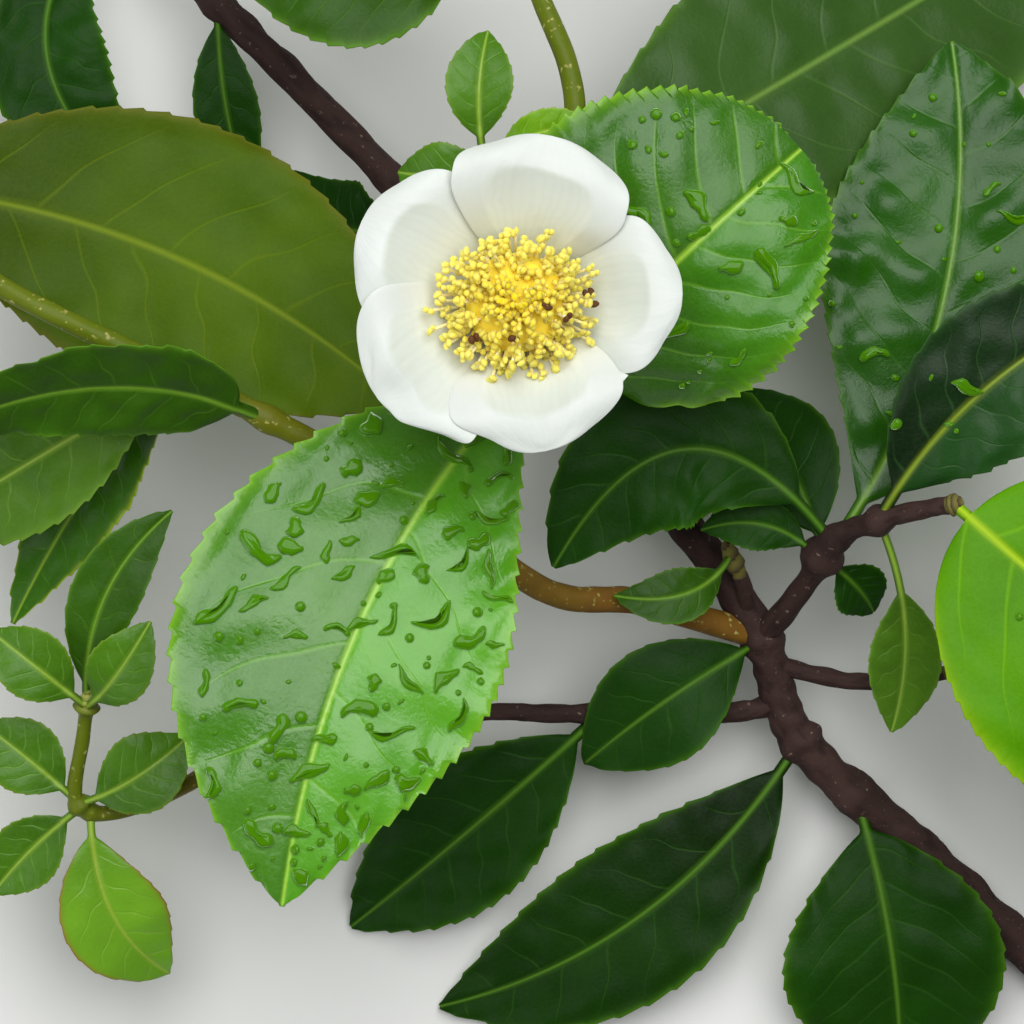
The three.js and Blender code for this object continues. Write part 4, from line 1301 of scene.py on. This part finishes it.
# %% The stamens' curves
STAMENS = 430
THREAD_RINGS = 7
OVARY_RING = 2.3
KNEE_INWARD = 1.76
BRUSH_HEIGHT = 14.6
BRUSH_DOME = 4
SHORT_SHARE = 0.3
SHORTER_BY = 2.4
BRUSH_RADIUS = 8.6
BRUSH_LEAN = np.array([-0.3, -1.2, 0])
PETAL_CLEARANCE = 3.2
TALLEST = 15.6
rng = np.random.default_rng(11)
number = np.arange(STAMENS)
share = ((number + 0.5) / STAMENS) ** 0.72
turn = number * np.pi * (3 - np.sqrt(5))
outward = np.stack([np.cos(turn), np.sin(turn), 0 * turn], -1)
crosswise = np.stack([-np.sin(turn), np.cos(turn), 0 * turn], -1)
foot = FLOWER + outward * (OVARY_RING * share)[:, None] + UP * 0.6
height = BRUSH_HEIGHT - BRUSH_DOME * share**2 + rng.normal(0, 0.9, STAMENS)
height = height - SHORTER_BY * (rng.random(STAMENS) < SHORT_SHARE)
spread = BRUSH_RADIUS * share + rng.normal(0, 0.7, STAMENS)
head = (FLOWER + BRUSH_LEAN + outward * spread[:, None] * np.array([1.06, 0.95, 1])
        + crosswise * rng.normal(0, 0.6, STAMENS)[:, None])
over = head - FLOWER
petal_height = cup_point(over[:, 0], over[:, 1], 0 * number)[:, 2] - FLOWER[2]
head = head + UP * np.clip(height, petal_height + PETAL_CLEARANCE, TALLEST)[:, None]
knee = (foot + head) / 2 - outward * (KNEE_INWARD * share)[:, None]
w = np.linspace(0, 1, THREAD_RINGS)[None, :, None]
threads = bezier(foot[:, None], knee[:, None], head[:, None], w)
print("stamens:", STAMENS, "widest spread in mm:", round(2 * np.abs(head - FLOWER)[:, 0].max(), 1))

# %% [markdown]
# ## Colours of the flower's small parts
#
# The small parts need only two near colours mixed by noise. The anthers are powdered with
# pollen, which a faint sheen and light that passes through them imitate.


# %% Paints for small parts
def plain_paint(name, first, second, roughness, per_mm=0.6):
    """Two near colours mixed by fine noise, for the flower's small parts."""
    paint = Paint(name, roughness)
    paint.set("Base Color", paint.mix(paint.noise(per_mm, 3), srgb(*first), srgb(*second)))
    paint.set("Subsurface Weight", 0.15).set("Subsurface Scale", 1 * MM)
    return paint.bump(paint.noise(4.0, 2), 0.03).material


def anther_paint():
    """Yellow, deeper in the middle of the brush and paler outside, mottled with pollen."""
    paint = Paint("anther", 0.8).set(SHINE, 0.15)
    paint.set("Sheen Weight", 0.5).set("Sheen Tint", (1.0, 0.8, 0.2, 1.0))
    ground = paint.mix(paint.value("outer"), srgb(255, 216, 0), srgb(255, 236, 112))
    pollen = paint.between(paint.noise(2.2, 2), 0.5, 0.62)
    ground = paint.mix(paint.times(pollen, 0.45), ground, srgb(255, 242, 140))
    paint.set("Base Color", ground)
    paint.set("Subsurface Weight", 0.6).set("Subsurface Scale", 2 * MM)
    paint.set("Subsurface Radius", (1.0, 0.8, 0.2))
    return paint.bump(paint.noise(4.0, 2), 0.04).material


anther = anther_paint()
brown = plain_paint("withered_anthers", (110, 64, 14), (60, 32, 6), 0.75)
print("nodes in the anthers' material:", len(anther.node_tree.nodes))

# %% [markdown]
# ## Threads
#
# A thread is thin and pale, and a little thinner at its head. Five sides are enough for it,
# since smooth shading hides its corners.

# %% Threads
THREAD_RADII = (0.23, 0.18)
THREAD_AROUND = 5
radii = np.broadcast_to(np.linspace(*THREAD_RADII, THREAD_RINGS), (STAMENS, THREAD_RINGS))
piece = mesh_object("filaments", *many_tubes(threads, radii, THREAD_AROUND, crosswise))
finish_piece(piece, plain_paint("filament", (255, 250, 206), (255, 238, 160), 0.5), "stamens")
print("triangles of one thread:", len(tube_faces(THREAD_RINGS, THREAD_AROUND)))

# %% [markdown]
# ## Anthers
#
# An anther is two short lobes side by side across the end of its thread. Each is a tube of few
# faces, because there are hundreds. Anthers hang loosely on their threads, so each pair is
# tilted its own way.

# %% The lobes of the anthers
LOBE_RINGS = 5
LOBE_AROUND = 7
LOBE_APART = 0.26
LOBE_HALF_LENGTH = 0.52
lean = unit(threads[:, -1] - threads[:, -2])
tip = unit(lean + rng.normal(0, 0.7, (STAMENS, 3)))
beside = unit(np.cross(tip, crosswise + rng.normal(0, 0.4, (STAMENS, 3))))
w = np.linspace(-1, 1, LOBE_RINGS)
lobe = np.sqrt(1 - (0.9 * w) ** 2)
lobes = []
for hand in (-1, 1):
    middle = head + hand * LOBE_APART * beside
    lobes.append(middle[:, None] + tip[:, None] * (LOBE_HALF_LENGTH * w)[None, :, None]
                 + beside[:, None] * (hand * 0.1 * (1 - w**2))[None, :, None])
lobes = np.concatenate(lobes)
references = np.concatenate([crosswise, crosswise])
sizes = np.tile(rng.uniform(0.3, 0.42, (STAMENS, 1)), (2, 1)) * lobe
print("lobes:", len(lobes))

# %% [markdown]
# ## Withered anthers
#
# A handful of anthers have withered and turned brown. Which ones is not left to chance: those
# nearest to where the flower shows them are chosen, and the higher ones come first, because
# only they are seen.

# %% Anthers, yellow and withered
# where the withered ones are seen, in millimetres from the flower's middle
WITHERED = np.array([[7.8, 1], [8.6, -1], [4.3, -1.6], [4.7, -2.7], [-5.9, -4.7], [-4.5, -5.6],
                     [-0.3, -5.7]])
away = np.linalg.norm((head - FLOWER)[:, None, :2] - WITHERED, axis=2)
nearest = (away - 0.4 * head[:, 2:]).argmin(axis=0)
withered = np.tile(np.isin(number, nearest), 2)
outer = np.tile(share, 2)
for name, chosen, material in [("anthers", ~withered, anther),
                               ("withered_anthers", withered, brown)]:
    shape = many_tubes(lobes[chosen], sizes[chosen], LOBE_AROUND, references[chosen])
    stored = {"outer": np.repeat(outer[chosen], LOBE_RINGS * LOBE_AROUND + 2)}
    finish_piece(mesh_object(name, *shape, stored), material, "stamens")
print("withered anthers:", withered.sum() // 2, "triangles so far:", triangle_count)

# %% [markdown]
# ## Receptacle, pistil and the heart of the brush
#
# Under the stamens sits a green ovary whose three styles end among the anthers. It and the
# receptacle below it are turned shapes, as on a lathe. Between the anthers the eye meets only
# packed yellow threads, never the petals' feet, so a turned yellow heart fills the brush.


# %% Turned shapes and the pistil
def turned(profile, around, middle):
    """Points and faces of a shape turned about a vertical line: a circle for each pair of a
    radius and a height."""
    radius, height = np.array(profile).T
    centres = middle + np.stack([0 * height, 0 * height, height], -1)[None]
    return many_tubes(centres, radius[None], around, np.array([[0.0, 1.0, 0.0]]))


green = plain_paint("sepal", (142, 164, 78), (112, 138, 52), 0.5)
heart = [(1.2, 0.6), (2.2, 1.2), (2.9, 4), (4.2, 7.5), (5.6, 10), (5.7, 10.8), (4.6, 12),
         (2.5, 12.9), (0.4, 13.2)]
finish_piece(mesh_object("heart", *turned(heart, around=40, middle=FLOWER + 0.8 * BRUSH_LEAN)),
             plain_paint("heart", (255, 220, 16), (255, 236, 90), 0.8, 1.3), "stamens")
core = [(0.4, -3.3), (1.6, -3.2), (2.4, -2.4), (2.9, -1.2), (3.0, -0.2), (2.6, 0.4), (1.8, 0.9),
        (1.5, 1.6), (0.9, 2.4), (0.3, 2.7)]
finish_piece(mesh_object("receptacle", *turned(core, around=30, middle=FLOWER)), green, "calyx")

STYLE_RINGS = 12
STYLE_AROUND = 8
STYLE_RADII = (0.3, 0.22)
style_turn = np.radians([20, 140, 260])
style_out = np.stack([np.cos(style_turn), np.sin(style_turn), 0 * style_turn], -1)
style_side = np.stack([-np.sin(style_turn), np.cos(style_turn), 0 * style_turn], -1)
w = np.linspace(0, 1, STYLE_RINGS)[None, :, None]
styles = FLOWER + UP * (2 + 11.5 * w) + style_out[:, None] * (0.25 + 1.3 * ramp(w, 0.6, 1))
radii = np.broadcast_to(np.linspace(*STYLE_RADII, STYLE_RINGS), (3, STYLE_RINGS))
piece = mesh_object("pistil", *many_tubes(styles, radii, STYLE_AROUND, style_side))
finish_piece(piece, plain_paint("pistil", (214, 222, 140), (190, 204, 110), 0.5), "stamens")
print("styles:", len(styles), "triangles so far:", triangle_count)

# %% [markdown]
# ## Sepals and stalk
#
# Below the petals five round green sepals overlap in a small cup, and a smooth stalk that
# thickens upward joins it to the shoot. The sepals are laid round the cup in two layers, as
# they overlap in life.

# %% Sepals and stalk
SEPALS = 5
SEPAL_RINGS = 26
SEPAL_AROUND = 40
SEPAL_HALF_WIDTH = 3.3
SEPAL_HALF_THICK = 0.14


def sepal_grid(heading, lift):
    """A round scale on the outside of the calyx cup, ring by ring from its foot to its rim. The
    cup widens as a quarter of a sine and rises as its way along to the power 1.5."""
    q = np.linspace(0, 1, SEPAL_RINGS)[:, None]
    angle = circle(SEPAL_AROUND)[None, :]
    half = SEPAL_HALF_WIDTH * np.sin(np.pi * np.clip(q, 0.02, 0.97) ** 0.75) ** 0.5
    flat = squared_off(np.sin(angle), 0.5)
    radius = 1.6 + 3.5 * np.sin(np.pi / 2 * q) + SEPAL_HALF_THICK * flat + lift
    height = -3.2 + 4.3 * q**1.5 - SEPAL_HALF_THICK * flat * (1 - q)
    turn = heading + half * np.cos(angle) / radius
    return FLOWER + np.stack([radius * np.cos(turn), radius * np.sin(turn),
                              height * np.ones_like(turn)], -1)


grids = np.stack([sepal_grid(np.radians(72 * k + 30), 0.2 * (k % 2) + 0.1 * (k == 4))
                  for k in range(SEPALS)])
points, faces = joined(grids)
# these rings run the other way round, so their faces are turned to look out
finish_piece(mesh_object("sepals", points, faces[:, ::-1]), green, "calyx", replace=False)

head = FLOWER + UP * -3.4
stalk_foot = np.array([5.9, 20.5, 36.2])
elbow = np.array([head[0] + 0.6, head[1] - 0.4, stalk_foot[2] + 4])
STALK_RINGS = 30
STALK_AROUND = 16
w = np.linspace(0, 1, STALK_RINGS)[None, :, None]
stalk = bezier(stalk_foot, elbow, head, w)
radii = 1.0 + 0.45 * ramp(w[..., 0], 0.6, 1) + 0.25 * ramp(w[..., 0], 0.15, 0)
piece = mesh_object("stalk", *many_tubes(stalk, radii, STALK_AROUND, np.array([[0.0, 1.0, 0.0]])))
finish_piece(piece, twig_materials["green_twig"], "flower_stalk")
print("triangles with the flower:", triangle_count)

# %% [markdown]
# ## Rain drops
#
# Rain has wetted the leaves. On the lower wet leaf the water stands in long crooked patches
# between round beads, and on the others mostly in beads. Drops never overlap: where two meet
# they run together. So each new place is kept only if it is clear of all that came before.


# %% Where the drops lie
TRIES = 80
SIZES_APART = 0.36
GAP = 0.2
TURN_SPREAD = 55
BEND_SPREAD = 0.16


def scatter(leaf, count, length, width, seed, kept):
    """Places, sizes and turns of count more drops that keep apart, from many tries in order.
    length and width are each a least and a most; small drops are the more frequent ones."""
    rng = np.random.default_rng(seed)
    blade = leaf["length"] - leaf["petiole"]
    kept = list(kept)
    wanted = len(kept) + count
    for _ in range(TRIES * count):
        q, v = rng.uniform(0.14, 0.95), rng.uniform(-0.93, 0.93)
        narrow = width[0] + (width[1] - width[0]) * rng.random() ** 2
        long = max(narrow, length[0] + (length[1] - length[0]) * rng.random() ** 1.3)
        half = half_width(leaf, q)
        if 0.5 * long > half * (1 - abs(v)) * 0.9:
            continue
        if all(np.hypot((q - a) * blade, v * half - b) > SIZES_APART * (long + other) + GAP
               for a, b, other, *_ in kept):
            turn = np.radians(rng.normal(-leaf["heading"], TURN_SPREAD))
            kept.append((q, v * half, long, narrow, turn, rng.normal(0, BEND_SPREAD)))
        if len(kept) == wanted:
            break
    return np.array(kept)


example = scatter(LEAVES["leaf_front_low"], 3, (1, 1), (1, 1), 1, [])
print("three beads, along in shares and across in mm:", example[:, :2].round(1).tolist())

# %% [markdown]
# ## The surface of a drop
#
# A drop is a low dome of clear water. Its outline is laid out in the leaf's own coordinates and
# each of its points asks the leaf's surface where it lies, so a drop follows the blade however
# the blade bends. Metaballs would also run together like water, but could not follow the blade.

# %% Drops as grids
DROP_HEIGHT = 0.4
# each ring's share of the drop's width, and its height; the first ones lie inside the blade
PATCH_RINGS = [(0.6, -0.25), (0.95, -0.2), (1.0, 0.12), (0.97, 0.4), (0.86, 0.68), (0.62, 0.9),
               (0.3, 0.99)]
BEAD_RINGS = [(0.7, -0.25), (1.0, 0.0), (0.9, 0.55), (0.5, 0.92)]


def drops(leaf, places, profile, around, crooked, seed):
    """Points and faces of all the drops on one leaf. A drop's outline is an ellipse with a
    wavy width, whose long axis is bent, and its inner rings shrink onto that axis. It stands
    higher the broader it is: as its width to the power 0.8."""
    rng = np.random.default_rng(seed)
    blade = leaf["length"] - leaf["petiole"]
    q, y, long, narrow, turn, bend = (places[:, k, None, None] for k in range(6))
    theta = circle(around)[None, None, :]
    ring = np.array(profile)[None, :, :, None]
    inward, rise = ring[:, :, 0], ring[:, :, 1]
    phase = rng.uniform(0, 2 * np.pi, (2, len(places), 1, 1))
    ahead = np.cos(theta) * (long - narrow * (1 - inward)) / 2
    place = 2 * ahead / long
    wavy = 1 + crooked * (1.3 * np.sin(3.2 * place + phase[0]) + 0.7 * np.sin(7 * place + phase[1]))
    aside = np.sin(theta) * narrow * inward * wavy / 2
    aside = aside + (long - narrow) * (bend * place**2 + 0.5 * crooked * np.sin(3 * place + phase[1]))
    along = ahead * np.cos(turn) - aside * np.sin(turn)
    across = ahead * np.sin(turn) + aside * np.cos(turn)
    q = np.clip(q + along / blade, 0.01, 0.99)
    v = np.clip((y - across) / half_width(leaf, q), -0.99, 0.99)
    lift = leaf["thick"] / 2 + DROP_HEIGHT * narrow**0.8 * rise + 0 * theta
    return joined(leaf_point(leaf, q, v, lift))


print("rings of a patch and of a bead:", len(PATCH_RINGS), len(BEAD_RINGS))

# %% [markdown]
# ## Water on the leaves
#
# Where water stands, the blade loses its sheen and looks deeper green. Clear water alone is too
# thin here to show that in a render, so it is tinted and only partly see-through.

# %% Drops on the leaves
water = Paint("water", 0.06).set(SHINE, 0.3)
water.set("Base Color", srgb(84, 148, 0)).set("Transmission Weight", 0.35).set("IOR", 1.33)
for name, patches, beads, seed in [
    ("leaf_front_low", 66, 60, 21),
    ("leaf_front_high", 12, 44, 22),
    ("leaf_right_upright", 5, 22, 23),
    ("leaf_right_dark", 2, 12, 24),
    ("leaf_right_bright", 3, 14, 25),
]:
    leaf = LEAVES[name]
    long = scatter(leaf, patches, (2.4, 6.4), (0.9, 2.1), seed, [])
    both = scatter(leaf, beads, (0.6, 1.2), (0.5, 1.5), seed + 100, long)
    for kind, places, profile, around, crooked in [
        ("_patches", both[:patches], PATCH_RINGS, 22, 0.22),
        ("_beads", both[patches:], BEAD_RINGS, 12, 0.04),
    ]:
        piece = mesh_object(name + kind, *drops(leaf, places, profile, around, crooked, seed))
        finish_piece(piece, water.material, name, replace=False)
    print(name, "drops:", len(both))

# %% Finish
boxes = {"cad_low": list(cad_box[0]), "cad_high": list(cad_box[1])}
low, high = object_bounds()
boxes |= {"visual_low": list(low), "visual_high": list(high)}
print("CAD size in mm:", [round(side / MM, 2) for side in cad_box[1] - cad_box[0]])
print("visual size in mm:", [round(side / MM, 2) for side in high - low])
print("pieces:", len(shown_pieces()), "triangles:", triangle_count,
      "seconds:", round(time.time() - started, 1))
